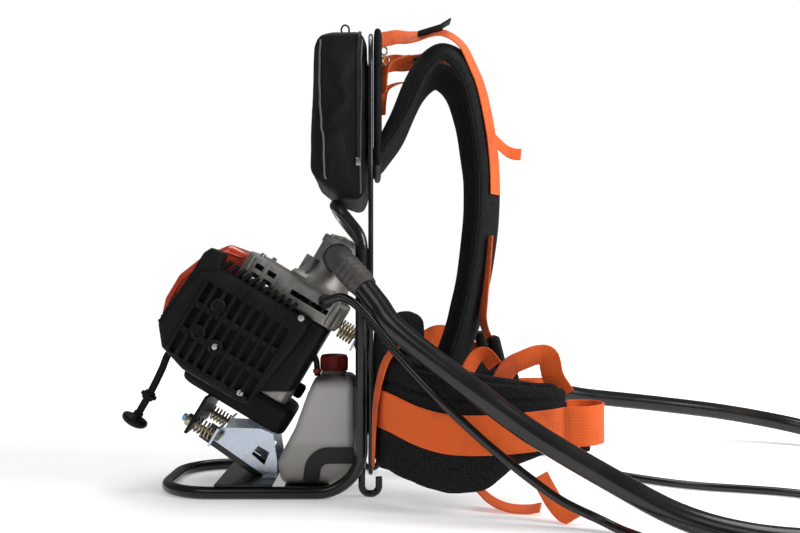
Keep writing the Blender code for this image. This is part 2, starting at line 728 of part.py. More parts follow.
clutch_drum()
output_gear()
bearing("pinion_bearing", engine, (0.0108, 0.0142), BORE_R)
bearing("output_bearing", output, (0.0285, 0.0365), OUTPUT_BORE_R)
gearbox_housing()
gearbox_cap()
output_sleeve()

# Spring mounts: the upper pair to the cross tube, the lower pair to the galvanised bracket


def spring(name, start, length, y, z):
    """A compression spring along the engine's x axis, with its wire's gap to itself printed."""
    per_turn = 8
    count = int(SPRING_TURNS * per_turn)
    rise = (length - 2 * SPRING_WIRE_R - 2 * GAP) / count
    points = []
    for i in range(count + 1):
        a = math.tau * i / per_turn
        x = start + SPRING_WIRE_R + GAP + rise * i
        points.append((x, y + SPRING_R * math.cos(a), z + SPRING_R * math.sin(a)))
    print(name, "least gap between turns, mm:", round((rise * per_turn - 2 * SPRING_WIRE_R) * 1000, 2))
    tube(name, points, SPRING_WIRE_R, YELLOW_ZINC, engine, resolution=1)


def mount_bolt(name, start, end, y, z):
    """A bolt along the engine's x axis: a round head, the shank and a nut."""
    head, nut, head_r = 0.007, 0.005, 0.0085
    profile = [(0, end + nut), (0.0055, end + nut), (0.0055, end), (MOUNT_BOLT_R, end), (MOUNT_BOLT_R, start),
               (head_r, start), (head_r, start - head), (0, start - head)]
    lying = Matrix.Translation((0, y, z)) @ Matrix.Rotation(math.pi / 2, 4, "Y")
    turned(name, profile, YELLOW_ZINC, engine, 12, lying)


def bolt_holes(name, x, z, y):
    """Cutters for the near and the far bolt through a plate."""
    return [rod(f"{name}_{side}", (x - 0.02, side * y, z), (x + 0.02, side * y, z), MOUNT_BOLT_R + GAP,
                STEEL, engine, 12) for side in (-1, 1)]


UPPER_SEAT_X = FAN_X[1]
UPPER_PLATE_X = in_engine((UPRIGHT_X, 0, CROSS_Z)).x - CROSS_R - GAP - PLATE
FOOT_X = (-0.0515, -0.0475)
LOWER_TAB_X = (-0.0165, -0.0135)


def upper_mount_plate():
    plate = block("upper_mount_plate", (UPPER_PLATE_X, -0.078, UPPER_MOUNT_Z - 0.016),
                  (UPPER_PLATE_X + PLATE, 0.078, UPPER_MOUNT_Z + 0.016), ZINC, engine)
    cut(plate, *bolt_holes("upper_hole", UPPER_PLATE_X, UPPER_MOUNT_Z, UPPER_MOUNT_Y))


def engine_foot():
    """The steel foot under the recoil cover that the lower springs push on."""
    foot = block("engine_foot", (FOOT_X[0], -0.078, LOWER_MOUNT_Z - 0.014),
                 (FOOT_X[1], 0.078, RECOIL_Z[0] - GAP), BLACK_PLASTIC, engine)
    cut(foot, *bolt_holes("foot_hole", FOOT_X[0], LOWER_MOUNT_Z, LOWER_MOUNT_Y))


def mount_bracket(name, side):
    """A galvanised side plate with a window, a foot flange and the tab that the lower spring pushes on."""
    y = side * (LOWER_MOUNT_Y - 0.016)
    head = in_world(sum(LOWER_TAB_X) / 2, 0, LOWER_MOUNT_Z + 0.010)
    outline = [(BRACKET_HEEL.x, BRACKET_HEEL.z), (head.x, head.z), (-0.1520, 0.0815), (-0.1360, 0.0745),
               (-0.1310, 0.0400), (-0.1310, BRACKET_FOOT_Z), (BRACKET_TOE_X, BRACKET_FOOT_Z)]
    plate = upright_outline(extruded(name, outline, PLATE / 2, ZINC), y)
    window_outline = [(-0.1650, 0.0480), (-0.1560, 0.0590), (-0.1410, 0.0500), (-0.1480, 0.0330)]
    window = upright_outline(extruded(f"{name}_window", window_outline, PLATE, ZINC), y)
    tab = block(f"{name}_tab", (LOWER_TAB_X[0], -TAB_HALF_WIDTH, LOWER_MOUNT_Z - 0.013),
                (LOWER_TAB_X[1], TAB_HALF_WIDTH, LOWER_MOUNT_Z + 0.013), ZINC, engine)
    tab.location = (0, side * LOWER_MOUNT_Y, 0)
    flange = block(f"{name}_flange", (BRACKET_TOE_X, min(y, y + side * 0.022), BRACKET_FOOT_Z),
                   (-0.1310, max(y, y + side * 0.022), BRACKET_FOOT_Z + PLATE), ZINC)
    hole = rod(f"{name}_hole", (LOWER_TAB_X[0] - 0.01, side * LOWER_MOUNT_Y, LOWER_MOUNT_Z),
               (LOWER_TAB_X[1] + 0.01, side * LOWER_MOUNT_Y, LOWER_MOUNT_Z), MOUNT_BOLT_R + GAP,
               ZINC, engine, 12)
    joined(plate, tab, flange)
    cut(plate, window, hole)


BASE_PLATE_Z = 2 * TUBE_R + GAP
BRACKET_FOOT_Z = BASE_PLATE_Z + PLATE + GAP
BRACKET_TOE_X = -0.1480
TAB_HALF_WIDTH = 0.0195
LEG_HALF_WIDTH = 0.0045
BRACKET_HEEL = in_world(sum(LOWER_TAB_X) / 2, 0, LOWER_MOUNT_Z - 0.010)


def base_plate():
    """A black plate across the base tubes that carries the brackets and legs."""
    block("base_plate", (-0.205, -FRAME_HALF_WIDTH - 0.004, BASE_PLATE_Z),
          (-0.1305, FRAME_HALF_WIDTH + 0.004, BASE_PLATE_Z + PLATE), GLOSS_BLACK, bevel=0.0008, segments=1)


def cradle_leg(name, side):
    """A slanted black leg under each bracket."""
    heel = Vector((BRACKET_HEEL.x, BRACKET_HEEL.z))
    foot = Vector((BRACKET_TOE_X, BRACKET_FOOT_Z))
    slope = (foot - heel).normalized()
    under = Vector((slope.y, -slope.x))
    top = heel + under * GAP - slope * 0.020
    toe = foot - Vector((GAP / -slope.y, 0))
    back = toe - Vector((0.016, 0))
    outline = [tuple(top), tuple(toe), tuple(back), tuple(top + under * 0.0085)]
    beside_tab = LOWER_MOUNT_Y - TAB_HALF_WIDTH - GAP - LEG_HALF_WIDTH
    upright_outline(extruded(name, outline, LEG_HALF_WIDTH, GLOSS_BLACK), side * beside_tab)


def tank_tray():
    reach = FRAME_HALF_WIDTH - TUBE_R - GAP
    block("tank_tray", (-0.118, -reach, TUBE_R), (-0.060, reach, TANK_SIDE[0][1] - GAP), GLOSS_BLACK)


upper_mount_plate()
engine_foot()
for side, tag in ((-1, "near"), (1, "far")):
    upper_y = side * UPPER_MOUNT_Y
    lower_y = side * LOWER_MOUNT_Y
    spring(f"upper_spring_{tag}", UPPER_SEAT_X, UPPER_PLATE_X - UPPER_SEAT_X, upper_y, UPPER_MOUNT_Z)
    spring(f"lower_spring_{tag}", FOOT_X[1], LOWER_TAB_X[0] - FOOT_X[1], lower_y, LOWER_MOUNT_Z)
    mount_bolt(f"lower_bolt_{tag}", FOOT_X[0] - GAP, LOWER_TAB_X[1] + GAP, lower_y, LOWER_MOUNT_Z)
    mount_bracket(f"mount_bracket_{tag}", side)
    cradle_leg(f"cradle_leg_{tag}", side)
base_plate()
tank_tray()

# Recoil starter: a guide tube from the recoil cover, the rope inside it and the pull knob
GUIDE_R = 0.005
GUIDE_BORE_R = 0.0032
ROPE_R = 0.0016
GUIDE_Y = -0.038
GUIDE_ROUTE = [(-0.2620, 0.1880), (-0.2765, 0.1810), (-0.2860, 0.1595), (-0.2990, 0.1330), (-0.3159, 0.1030)]


def guide_points(count):
    seat = in_world(RECOIL_X[0] - GAP, GUIDE_Y, RECOIL_Z[1] - 0.015)
    straight = in_world(RECOIL_X[0] - GAP - 0.009, GUIDE_Y, RECOIL_Z[1] - 0.015)
    route = [straight] + [(x, GUIDE_Y, z) for x, z in GUIDE_ROUTE]
    return [seat, *smooth(route, count - 1)]


def starter_guide():
    points = guide_points(14)
    guide = tube("starter_guide", points, GUIDE_R, BLACK_PLASTIC)
    run_out = [points[0] * 2 - points[1], *points[1:-1], points[-1] * 2 - points[-2]]
    cut(guide, tube("guide_bore", run_out, GUIDE_BORE_R, BLACK_PLASTIC))


def starter_rope():
    tube("starter_rope", guide_points(14), ROPE_R, BLACK_CLOTH, resolution=1)


def pull_axes():
    points = guide_points(14)
    run = (points[-1] - points[-2]).normalized()
    return axes("pull_axes", points[-1], run.to_track_quat("Z", "Y"))


def starter_handle(pull):
    """The mushroom knob: its shank seats on the guide tube's end."""
    profile = [(0, 0.020), (0.010, 0.0195), (0.0165, 0.016), (0.018, 0.011), (0.016, 0.008), (0.008, 0.0065),
               (0.0065, 0.004), (0.0065, GAP), (0, GAP)]
    turned("starter_handle", profile, BLACK_PLASTIC, pull, 16)


def starter_collar(pull):
    """The stop ring clamped on the guide tube."""
    inner = GUIDE_R + GAP
    profile = [(inner, -0.020), (0.0075, -0.020), (0.0075, -0.0235), (0.0110, -0.0235), (0.0110, -0.0275),
               (0.0075, -0.0275), (0.0075, -0.031), (inner, -0.031), (inner, -0.020)]
    turned("starter_collar", profile, BLACK_PLASTIC, pull, 14)


pull = pull_axes()
starter_guide()
starter_rope()
starter_handle(pull)
starter_collar(pull)

# Harness: tool bag, back pad, hip belt and shoulder straps
BAG_HALF_WIDTH = 0.105
BAG_FRONT_X = HOOP_X - HOOP_R - GAP
BAG_SIDE = [(-0.085, 0.420), (-0.0835, 0.4070), (-0.0623, 0.3914), (-0.0120, 0.3624), (BAG_FRONT_X, 0.3700),
            (BAG_FRONT_X, 0.5850), (-0.0180, 0.5930), (-0.0720, 0.5880), (-0.0800, 0.5750)]
BELT_STATIONS = 13
BELT_THICKNESS = 0.030
BACK_PAD_X = (HOOP_X + HOOP_R + GAP, 0.020)
BACK_PAD_HALF_WIDTH = 0.109       # it lies on the hoop's two rods


def tool_bag():
    upright_outline(extruded("tool_bag", BAG_SIDE, BAG_HALF_WIDTH, BLACK_CLOTH, rounding=0.010))


def padded_band(name, path, lows, highs, thickness, skin, crown=0.55, channels=(), shares=None, tilts=None):
    """A padded band swept along a level path: rounded edges, a crowned outer face and sewn channels.

    tilts turns each section about the path, so that the band's face leans out.
    """
    count = len(path)
    bm = bmesh.new()
    rings = []
    for i in range(count):
        here = Vector(path[i])
        run = Vector(path[min(i + 1, count - 1)]) - Vector(path[max(i - 1, 0)])
        out = Vector((run.y, -run.x)).normalized()
        shrink = 0.35 if i in (0, count - 1) else 1.0
        height = highs[i] - lows[i]
        ring = []
        for side, across in ((1, shares or BAND_SHARES), (-1, (shares or BAND_SHARES)[::-1])):
            for share in across:
                bulge = (1 - abs(2 * share - 1) ** 3) * crown + 1 - crown
                if side > 0 and any(abs(share - c) < 0.02 for c in channels):
                    bulge *= 0.72
                reach = side * bulge * thickness / 2 * shrink
                rise = height * (share - 0.5) * (0.86 if shrink < 1 else 1)
                tilt = tilts[i] if tilts else 0
                out_by = reach * math.cos(tilt) - rise * math.sin(tilt)
                z = lows[i] + height / 2 + reach * math.sin(tilt) + rise * math.cos(tilt)
                ring.append(bm.verts.new((here.x + out.x * out_by, here.y + out.y * out_by, z)))
        rings.append(ring)
    size = len(rings[0])
    for low, high in zip(rings, rings[1:]):
        for k in range(size):
            bm.faces.new((low[k], low[(k + 1) % size], high[(k + 1) % size], high[k]))
    bm.faces.new(rings[0])
    bm.faces.new(rings[-1])
    return from_bmesh(name, bm, skin, smooth_angle=60)


BAND_SHARES = (0.0, 0.04, 0.14, 0.32, 0.52, 0.70, 0.74, 0.78, 0.88, 0.92, 0.96, 1.0)
WING_ROUTE = [(0.010, -0.1096), (0.017, -0.129), (0.038, -0.152), (0.076, -0.170), (0.124, -0.181),
              (0.176, -0.182), (0.226, -0.172)]


def hip_wing(name, side):
    """One wing of the hip belt, from the back pad round to the front."""
    path = [(p.x, p.y) for p in smooth([(x, side * -y, 0) for x, y in WING_ROUTE], BELT_STATIONS)]
    if side > 0:
        path = path[::-1]
    lows, highs = [], []
    for x, _ in path:
        t = min(max((x - 0.02) / 0.206, 0), 1)
        lows.append(0.040 - 0.022 * math.sin(math.pi * min(t * 1.4, 1)) + 0.038 * max(0, t - 0.55) / 0.45)
        highs.append(0.194 - 0.038 * t ** 0.8)
    padded_band(name, path, lows, highs, BELT_THICKNESS, BLACK_CLOTH, channels=(0.74, 0.92))


def back_pad():
    """The lumbar pad against the hoop, between the wings."""
    block("back_pad", (BACK_PAD_X[0], -BACK_PAD_HALF_WIDTH, 0.040),
          (BACK_PAD_X[1], BACK_PAD_HALF_WIDTH, 0.222), BLACK_CLOTH, bevel=0.010, segments=3)


tool_bag()
back_pad()
hip_wing("hip_wing_near", -1)
hip_wing("hip_wing_far", 1)

STRAP_ROUTE = [(-0.0060, 0.430), (0.028, 0.486), (0.058, 0.552), (0.090, 0.577), (0.122, 0.546),
               (0.141, 0.470), (0.147, 0.390), (0.140, 0.310), (0.124, 0.230), (0.098, 0.155),
               (0.070, 0.090), (0.044, 0.050), (0.0195, 0.0385)]
STRAP_STATIONS = 24
STRAP_Y = (0.040, 0.092)
STRAP_THICKNESS = 0.018
STRAP_TILT = math.radians(35)     # how far the strap's face turns to the side


def shoulder_strap(name, side):
    """A padded strap from the bag's face over the shoulder and back to the lumbar pad."""
    path = [(p.x, p.y) for p in smooth([(x, z, 0) for x, z in STRAP_ROUTE], STRAP_STATIONS)]
    low, high = sorted(-side * y for y in STRAP_Y)
    last = STRAP_STATIONS - 1
    tilts = [side * STRAP_TILT * max(0, math.sin(math.pi * i / last)) ** 0.5 for i in range(STRAP_STATIONS)]
    strap = padded_band(name, path, [low] * STRAP_STATIONS, [high] * STRAP_STATIONS, STRAP_THICKNESS,
                        BLACK_CLOTH, shares=STRAP_SHARES, tilts=tilts)
    shaped(strap, Matrix.Rotation(math.pi / 2, 4, "X"))


STRAP_SHARES = (0.0, 0.08, 0.35, 0.65, 0.92, 1.0)

shoulder_strap("shoulder_strap_near", -1)
shoulder_strap("shoulder_strap_far", 1)

# Flexible shaft and poker: the casing lies on the floor in one loop, and the poker lies behind the belt
FLOOR_Z = CASING_R + 0.0004
SHAFT_ROUTE = [
    (0.0289, -0.183, 0.2150), (0.1118, -0.222, 0.1513), (0.1739, -0.237, 0.1059), (0.2535, -0.262, 0.0595),
    (0.3210, -0.295, 0.0261), (0.3800, -0.335, 0.0155), (0.4450, -0.385, 0.0210), (0.5000, -0.408, 0.0280),
    (0.5600, -0.412, 0.0210), (0.6300, -0.392, FLOOR_Z), (0.7000, -0.345, FLOOR_Z), (0.7650, -0.250, FLOOR_Z),
    (0.8050, -0.120, FLOOR_Z), (0.8250, 0.020, FLOOR_Z), (0.8200, 0.150, FLOOR_Z), (0.7850, 0.255, 0.0200),
    (0.7200, 0.325, 0.0350), (0.6200, 0.355, 0.0520), (0.5000, 0.357, 0.0670), (0.3800, 0.354, 0.0800),
]
POKER_NECK = Vector((0.3000, 0.3450, 0.0770))
POKER_TIP = Vector((0.0200, 0.3000, 0.0138))
POKER_R = 0.018
POKER_WALL = 0.0035
POKER_LENGTH = (POKER_TIP - POKER_NECK).length
ROTOR_R = 0.010

poker = axes("poker_axes", POKER_NECK, (POKER_TIP - POKER_NECK).to_track_quat("Z", "Y"))


def lain(points, z):
    """Points kept from dipping under the height at which a cord lies on the floor."""
    return [Vector((p.x, p.y, max(p.z, z))) for p in points]


def flexible_shaft():
    start = SLEEVE_END + SLEEVE_END_RUN * (0.006 + GAP)
    run = (POKER_TIP - POKER_NECK).normalized()
    end = POKER_NECK - run * GAP
    route = [start + SLEEVE_END_RUN * 0.012, start + SLEEVE_END_RUN * 0.030, *SHAFT_ROUTE, end - run * 0.040,
             end - run * 0.012]
    tube("flexible_shaft", [start, *lain(smooth(route, 54), FLOOR_Z), end], CASING_R, RUBBER)


def poker_tube():
    """The steel poker: a neck for the casing, the tube and its rounded tip."""
    inner = POKER_R - POKER_WALL
    end = POKER_LENGTH
    profile = [(0, end), (0.010, end - 0.003), (0.0155, end - 0.010), (POKER_R, end - 0.022),
               (POKER_R, 0.030), (0.0155, 0.022), (0.0150, 0.0), (ROTOR_R / 2 + GAP, 0.0),
               (ROTOR_R / 2 + GAP, 0.026), (inner, 0.034), (inner, end - 0.026), (0, end - 0.020)]
    turned("poker_tube", profile, STEEL, poker, 16)


def poker_rotor():
    """The eccentric weight: two journals and an off-centre swelling between them."""
    journal = ROTOR_R / 2
    rotor = rod("poker_rotor", (0, 0, 0.004), (0, 0, POKER_LENGTH - 0.0285), journal, STEEL, poker, 12)
    weight = rod("rotor_weight", (0.003, 0, 0.060), (0.003, 0, POKER_LENGTH - 0.060), ROTOR_R, STEEL, poker)
    joined(rotor, weight)


flexible_shaft()
poker_tube()
poker_rotor()

# Throttle: cable along the shaft, hand grip and lever
CABLE_R = 0.0053
CABLE_Z = CABLE_R + 0.0004
CABLE_ROUTE = [
    (-0.0400, -0.1120, 0.2560), (-0.0130, -0.1290, 0.2360), (0.0292, -0.170, 0.1853),
    (0.0744, -0.205, 0.1380), (0.1194, -0.215, 0.0958), (0.1635, -0.225, 0.0600),
    (0.2063, -0.237, 0.0299), (0.2473, -0.254, 0.0117),
    (0.2690, -0.285, CABLE_Z), (0.2980, -0.345, CABLE_Z), (0.3560, -0.398, CABLE_Z),
    (0.4300, -0.432, CABLE_Z), (0.4900, -0.426, CABLE_Z), (0.5350, -0.370, CABLE_Z),
    (0.5680, -0.280, CABLE_Z), (0.5850, -0.180, CABLE_Z), (0.5420, -0.093, CABLE_Z),
    (0.4310, -0.046, CABLE_Z), (0.3770, -0.007, CABLE_Z), (0.3290, 0.050, CABLE_Z),
    (0.3020, 0.120, CABLE_Z),
]
GRIP_R = 0.016
GRIP_START = Vector((0.2930, 0.2150, GRIP_R + 0.0004))
GRIP_RUN = Vector((-0.25, 0.968, 0)).normalized()
GRIP_LENGTH = 0.100
LEVER_PIVOT = (0.010, 0.026)
LEVER_PIN_R = 0.003
PIN_GAP = 0.00018                 # wide enough for the facets of pin and hole to pass
LEVER_LENGTH = 0.078
LEVER_REST = math.radians(13)

grip = axes("grip_axes", GRIP_START, Matrix((GRIP_RUN, Vector((0, 0, 1)).cross(GRIP_RUN), (0, 0, 1)))
            .transposed().to_quaternion())


def throttle_cable():
    start = in_world(0.020, -FAN_HALF_WIDTH - GAP, -0.022)
    out = Vector((0, -1, 0))
    end = GRIP_START - GRIP_RUN * GAP
    route = [start + out * 0.008, start + out * 0.018, *CABLE_ROUTE, end - GRIP_RUN * 0.030,
             end - GRIP_RUN * 0.008]
    tube("throttle_cable", [start, *lain(smooth(route, 52), CABLE_Z), end], CABLE_R, RUBBER)


def throttle_grip():
    """The moulded hand grip with the lug and pin that carry the lever."""
    end = GRIP_LENGTH
    profile = [(0, end), (0.012, end), (GRIP_R, end - 0.006), (0.0145, end - 0.03), (0.0145, 0.045),
               (GRIP_R, 0.022), (GRIP_R, 0.004), (0.012, 0.0), (0, 0.0)]
    body = turned("throttle_grip", profile, BLACK_PLASTIC, grip, 16, Matrix.Rotation(math.pi / 2, 4, "Y"))
    lug = block("lever_lug", (0.003, 0.008, -0.008), (0.017, LEVER_PIVOT[1] + 0.007, -GAP),
                BLACK_PLASTIC, grip)
    pin = rod("lever_pin", (*LEVER_PIVOT, -0.004), (*LEVER_PIVOT, 0.008), LEVER_PIN_R, STEEL, grip, 12)
    joined(body, lug, pin)


def throttle_lever():
    """The finger lever; its origin is on its pin."""
    hub = 0.007
    outline = [(hub * math.cos(a), hub * math.sin(a)) for a in
               (math.radians(d) for d in range(60, 301, 40))]
    outline += [(LEVER_LENGTH - 0.004, -0.004), (LEVER_LENGTH, 0.0), (LEVER_LENGTH - 0.004, 0.004)]
    lever = lifted(extruded("throttle_lever", outline, 0.003, BLACK_PLASTIC, grip), 0.003)
    lever.location = (*LEVER_PIVOT, 0)
    lever.rotation_euler = (0, 0, LEVER_REST)
    cut(lever, rod("lever_hole", (*LEVER_PIVOT, -0.01), (*LEVER_PIVOT, 0.02), LEVER_PIN_R + PIN_GAP,
                   STEEL, grip, 12))


throttle_cable()
throttle_grip()
throttle_lever()

# The origin goes under the middle of what stands on the floor, without the cords
CORD_PIECES = ("flexible_shaft", "poker_tube", "poker_rotor", "throttle_cable", "throttle_grip",
               "throttle_lever")


def footprint_middle():
    bpy.context.view_layer.update()
    xs = [(piece.matrix_world @ v.co).x for piece in PARTS.objects
          if piece.type == "MESH" and piece.name not in CORD_PIECES for v in piece.data.vertices]
    return (min(xs) + max(xs)) / 2


middle_x = footprint_middle()
for piece in [*PARTS.objects, *CUTTERS.objects]:
    if piece.parent is None:
        piece.location.x -= middle_x
bpy.context.view_layer.update()
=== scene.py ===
"""Looks of the backpack concrete vibrator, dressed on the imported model's frame."""
import json
import math

import bpy
from mathutils import Matrix, Vector, noise

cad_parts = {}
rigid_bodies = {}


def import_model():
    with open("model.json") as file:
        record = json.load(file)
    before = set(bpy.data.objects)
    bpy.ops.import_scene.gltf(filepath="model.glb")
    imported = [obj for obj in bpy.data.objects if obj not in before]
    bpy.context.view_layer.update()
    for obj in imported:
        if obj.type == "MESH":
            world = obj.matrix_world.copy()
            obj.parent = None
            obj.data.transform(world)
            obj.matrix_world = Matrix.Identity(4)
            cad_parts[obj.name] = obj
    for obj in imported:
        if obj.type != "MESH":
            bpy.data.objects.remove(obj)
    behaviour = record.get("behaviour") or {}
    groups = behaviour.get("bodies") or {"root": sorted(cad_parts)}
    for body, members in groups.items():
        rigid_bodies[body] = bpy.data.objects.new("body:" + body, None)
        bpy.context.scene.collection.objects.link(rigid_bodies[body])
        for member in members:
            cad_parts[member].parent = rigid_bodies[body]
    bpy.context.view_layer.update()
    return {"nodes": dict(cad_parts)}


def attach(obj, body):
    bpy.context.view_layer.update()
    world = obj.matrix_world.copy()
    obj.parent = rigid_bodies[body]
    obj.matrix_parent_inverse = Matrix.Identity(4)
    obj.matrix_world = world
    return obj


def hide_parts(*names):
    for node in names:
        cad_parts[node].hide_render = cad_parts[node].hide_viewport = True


for leftover in list(bpy.data.objects):
    bpy.data.objects.remove(leftover, do_unlink=True)
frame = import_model()

# Photographer's camera: a short telephoto held level, square to the machine's side, with the sensor
# shifted so that the whole frame and the floor come into the picture. Lengths along the machine are
# measured from MIDDLE.
MIDDLE = 0.0555
CAMERA_BACK = 1.25
EYE_HEIGHT = 0.258
FOCAL_PIXELS = 906
AXIS_PIXEL = (375.5, 296)


def put(name, data):
    """An object in the scene that holds a camera, a lamp, a curve or a mesh."""
    made = bpy.data.objects.new(name, data)
    bpy.context.scene.collection.objects.link(made)
    return made


def seen(px, py, y):
    """The point at a depth y that the photograph shows at a pixel."""
    scale = (CAMERA_BACK + y) / FOCAL_PIXELS
    across, down = AXIS_PIXEL
    return Vector((MIDDLE + (px - across) * scale, y, EYE_HEIGHT - (py - down) * scale))


lens = bpy.data.cameras.new("photo_camera")
lens.sensor_width = 36
lens.lens = 40.77
lens.shift_x = 0.0306
lens.shift_y = 0.0369
camera = put("photo_camera", lens)
camera.location = (MIDDLE, -CAMERA_BACK, EYE_HEIGHT)
camera.rotation_euler = (math.radians(90), 0, 0)
bpy.context.scene.camera = camera
bpy.context.scene.view_settings.view_transform = "Standard"

# Studio: a flat pale paper floor that reaches far behind the machine, under large soft lamps.
# The paper is seen as near white by the camera and by what reflects it.
class Wire:
    """One socket of a material's nodes. Sums and products on it add Math nodes."""

    def __init__(self, tree, socket=None):
        self.tree = tree
        self.socket = socket

    def feed(self, target, value):
        if isinstance(value, Wire):
            self.tree.links.new(value.socket, target)
        else:
            target.default_value = value

    def node(self, kind, settings, values, out=0):
        made = self.tree.nodes.new("ShaderNode" + kind)
        for name, value in settings.items():
            setattr(made, name, value)
        for name, value in values.items():
            self.feed(made.inputs[name], value)
        return Wire(self.tree, made.outputs[out])

    def maths(self, operation, first, second=0.0):
        return self.node("Math", {"operation": operation}, {0: first, 1: second})

    def __add__(self, other):
        return self.maths("ADD", self, other)

    def __sub__(self, other):
        return self.maths("SUBTRACT", self, other)

    def __mul__(self, other):
        return self.maths("MULTIPLY", self, other)

    def __rsub__(self, other):
        return self.maths("SUBTRACT", other, self)

    __radd__ = __add__
    __rmul__ = __mul__

    def above(self, edge, soft):
        """0 below an edge and 1 above it, with a soft step between."""
        return self.node("MapRange", {"interpolation_type": "SMOOTHSTEP"},
                         {"Value": self, "From Min": edge - soft, "From Max": edge + soft})

    def blend(self, first, second):
        """From the first colour to the second as this goes from 0 to 1."""
        return self.node("Mix", {"data_type": "RGBA"}, {0: self, 6: first, 7: second}, 2)


def rgba(red, green, blue):
    return (red, green, blue, 1.0)


def new_finish(name, constants):
    """A material, its shader's inputs and the wire of the piece's own coordinates."""
    made = bpy.data.materials.new(name)
    made.use_nodes = True
    shader = made.node_tree.nodes["Principled BSDF"]
    for socket, value in constants.items():
        shader.inputs[socket].default_value = value
    place = Wire(made.node_tree).node("TexCoord", {}, {}, "Object")
    return made, shader.inputs, place


PAPER = rgba(0.86, 0.86, 0.86)
GLOW_NEAR = rgba(0.36, 0.36, 0.36)
GLOW_FAR = rgba(0.98, 0.98, 0.98)
bpy.ops.object.select_all(action="DESELECT")
bpy.ops.mesh.primitive_plane_add(size=14, location=(0, 0, 0))
floor = bpy.context.object
floor.name = "paper_floor"
paper, inputs, place = new_finish("studio_paper", {"Base Color": PAPER, "Roughness": 0.9,
                                                   "Specular IOR Level": 0.0, "Emission Strength": 1.0})
away = place.node("VectorMath", {"operation": "LENGTH"}, {0: place}, "Value")
place.feed(inputs["Emission Color"], away.above(1.4, 1.1).blend(GLOW_NEAR, GLOW_FAR))
floor.data.materials.append(paper)

world = bpy.data.worlds.new("studio")
bpy.context.scene.world = world
world.use_nodes = True
sky = world.node_tree.nodes["Background"]
rays = Wire(world.node_tree).node("LightPath", {}, {}, "Is Camera Ray")
glossy = Wire(world.node_tree, rays.socket.node.outputs["Is Glossy Ray"])
rays.feed(sky.inputs["Color"], rgba(1.0, 1.0, 1.0))
rays.feed(sky.inputs["Strength"], 0.12 + rays * 0.88 + glossy * 0.03)

for name, spot, aim, size, power in (
        ("left_softbox", (-1.1, -1.7, 2.1), (0.0, 0.0, 0.25), 1.2, 9),
        ("right_softbox", (2.3, -1.0, 1.4), (0.1, 0.0, 0.2), 1.2, 60),
        ("top_softbox", (0.1, 0.5, 2.4), (0.1, 0.0, 0.2), 1.5, 34)):
    lamp = bpy.data.lights.new(name, "AREA")
    lamp.size = size
    lamp.energy = power
    holder = put(name, lamp)
    holder.location = spot
    holder.rotation_euler = (Vector(aim) - Vector(spot)).to_track_quat("-Z", "Y").to_euler()

# Flexible shaft: a steel-cored rubber casing as thick as a thumb. It leaves the gearbox's boot, runs
# down past the hip belt to the floor, turns in one wide loop and comes back behind the machine to the
# poker's neck.
GAP = 0.0003
CASING_R = 0.0135
CASING_FLOOR = CASING_R + 0.0004
SLEEVE_END = Vector((MIDDLE - 0.016, -0.145, 0.272))
SLEEVE_RUN = Vector((0.55, -0.45, -0.7)).normalized()
SLEEVE_LIP = 0.006
POKER_NECK = Vector((MIDDLE + 0.3, 0.345, 0.077))
POKER_TIP = Vector((MIDDLE + 0.02, 0.3, 0.0138))
POKER_RUN = (POKER_TIP - POKER_NECK).normalized()
SHAFT_LINE = [
    (0.0289, -0.183, 0.215), (0.1118, -0.222, 0.1513), (0.1739, -0.237, 0.1059), (0.2535, -0.262, 0.0595),
    (0.321, -0.295, 0.0261), (0.38, -0.335, 0.0155), (0.445, -0.385, 0.021), (0.5, -0.408, 0.028),
    (0.56, -0.412, 0.021), (0.63, -0.392, CASING_FLOOR), (0.7, -0.345, CASING_FLOOR),
    (0.765, -0.25, CASING_FLOOR), (0.805, -0.12, CASING_FLOOR), (0.825, 0.02, CASING_FLOOR),
    (0.82, 0.15, CASING_FLOOR), (0.785, 0.255, 0.02), (0.72, 0.325, 0.035), (0.62, 0.355, 0.052),
    (0.5, 0.357, 0.067), (0.38, 0.354, 0.08),
]


def smooth(points, count):
    """Evenly many points on a smooth curve through the given ones."""
    points = [Vector(p) for p in points]
    ends = [2 * points[0] - points[1], *points, 2 * points[-1] - points[-2]]
    made = []
    for k in range(count):
        t = k / (count - 1) * (len(points) - 1)
        i = min(int(t), len(points) - 2)
        f = t - i
        a, b, c, d = ends[i:i + 4]
        made.append(b + (c - a) * f / 2 + (a - b * 2.5 + c * 2 - d / 2) * f * f
                    + (b * 1.5 - a / 2 - c * 1.5 + d / 2) * f ** 3)
    return made


def shifted(points):
    return [Vector((x + MIDDLE, y, z)) for x, y, z in points]


def lain(points, low):
    return [Vector((p.x, p.y, max(p.z, low))) for p in points]


def line_length(points):
    return sum((b - a).length for a, b in zip(points, points[1:]))


def drawn_tube(name, points, radius, finish, closed=False, radii=None, resolution=6):
    """A round bar or hose along points, as a curve."""
    curve = bpy.data.curves.new(name, "CURVE")
    curve.dimensions = "3D"
    curve.bevel_depth = radius
    curve.bevel_resolution = resolution
    curve.use_fill_caps = not closed
    line = curve.splines.new("POLY")
    line.points.add(len(points) - 1)
    for i, p in enumerate(points):
        line.points[i].co = (*p, 1)
        line.points[i].radius = radii[i] if radii else 1
    line.use_cyclic_u = closed
    curve.materials.append(finish)
    return put(name, curve)


def hung(piece, body, slot, *nodes):
    """Hangs a piece on its body and hides the solids that it stands for. Its slot is not used."""
    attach(piece, body)
    if nodes:
        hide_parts(*nodes)
    return piece


def speckle(place, scale, detail=2.0, rough=0.5):
    """A cloudy pattern, from 0 to 1."""
    values = {"Vector": place, "Scale": scale, "Detail": detail, "Roughness": rough}
    return place.node("TexNoise", {}, values)


def shaded(place, inputs, colour, roughness):
    place.feed(inputs["Base Color"], colour)
    place.feed(inputs["Roughness"], roughness)


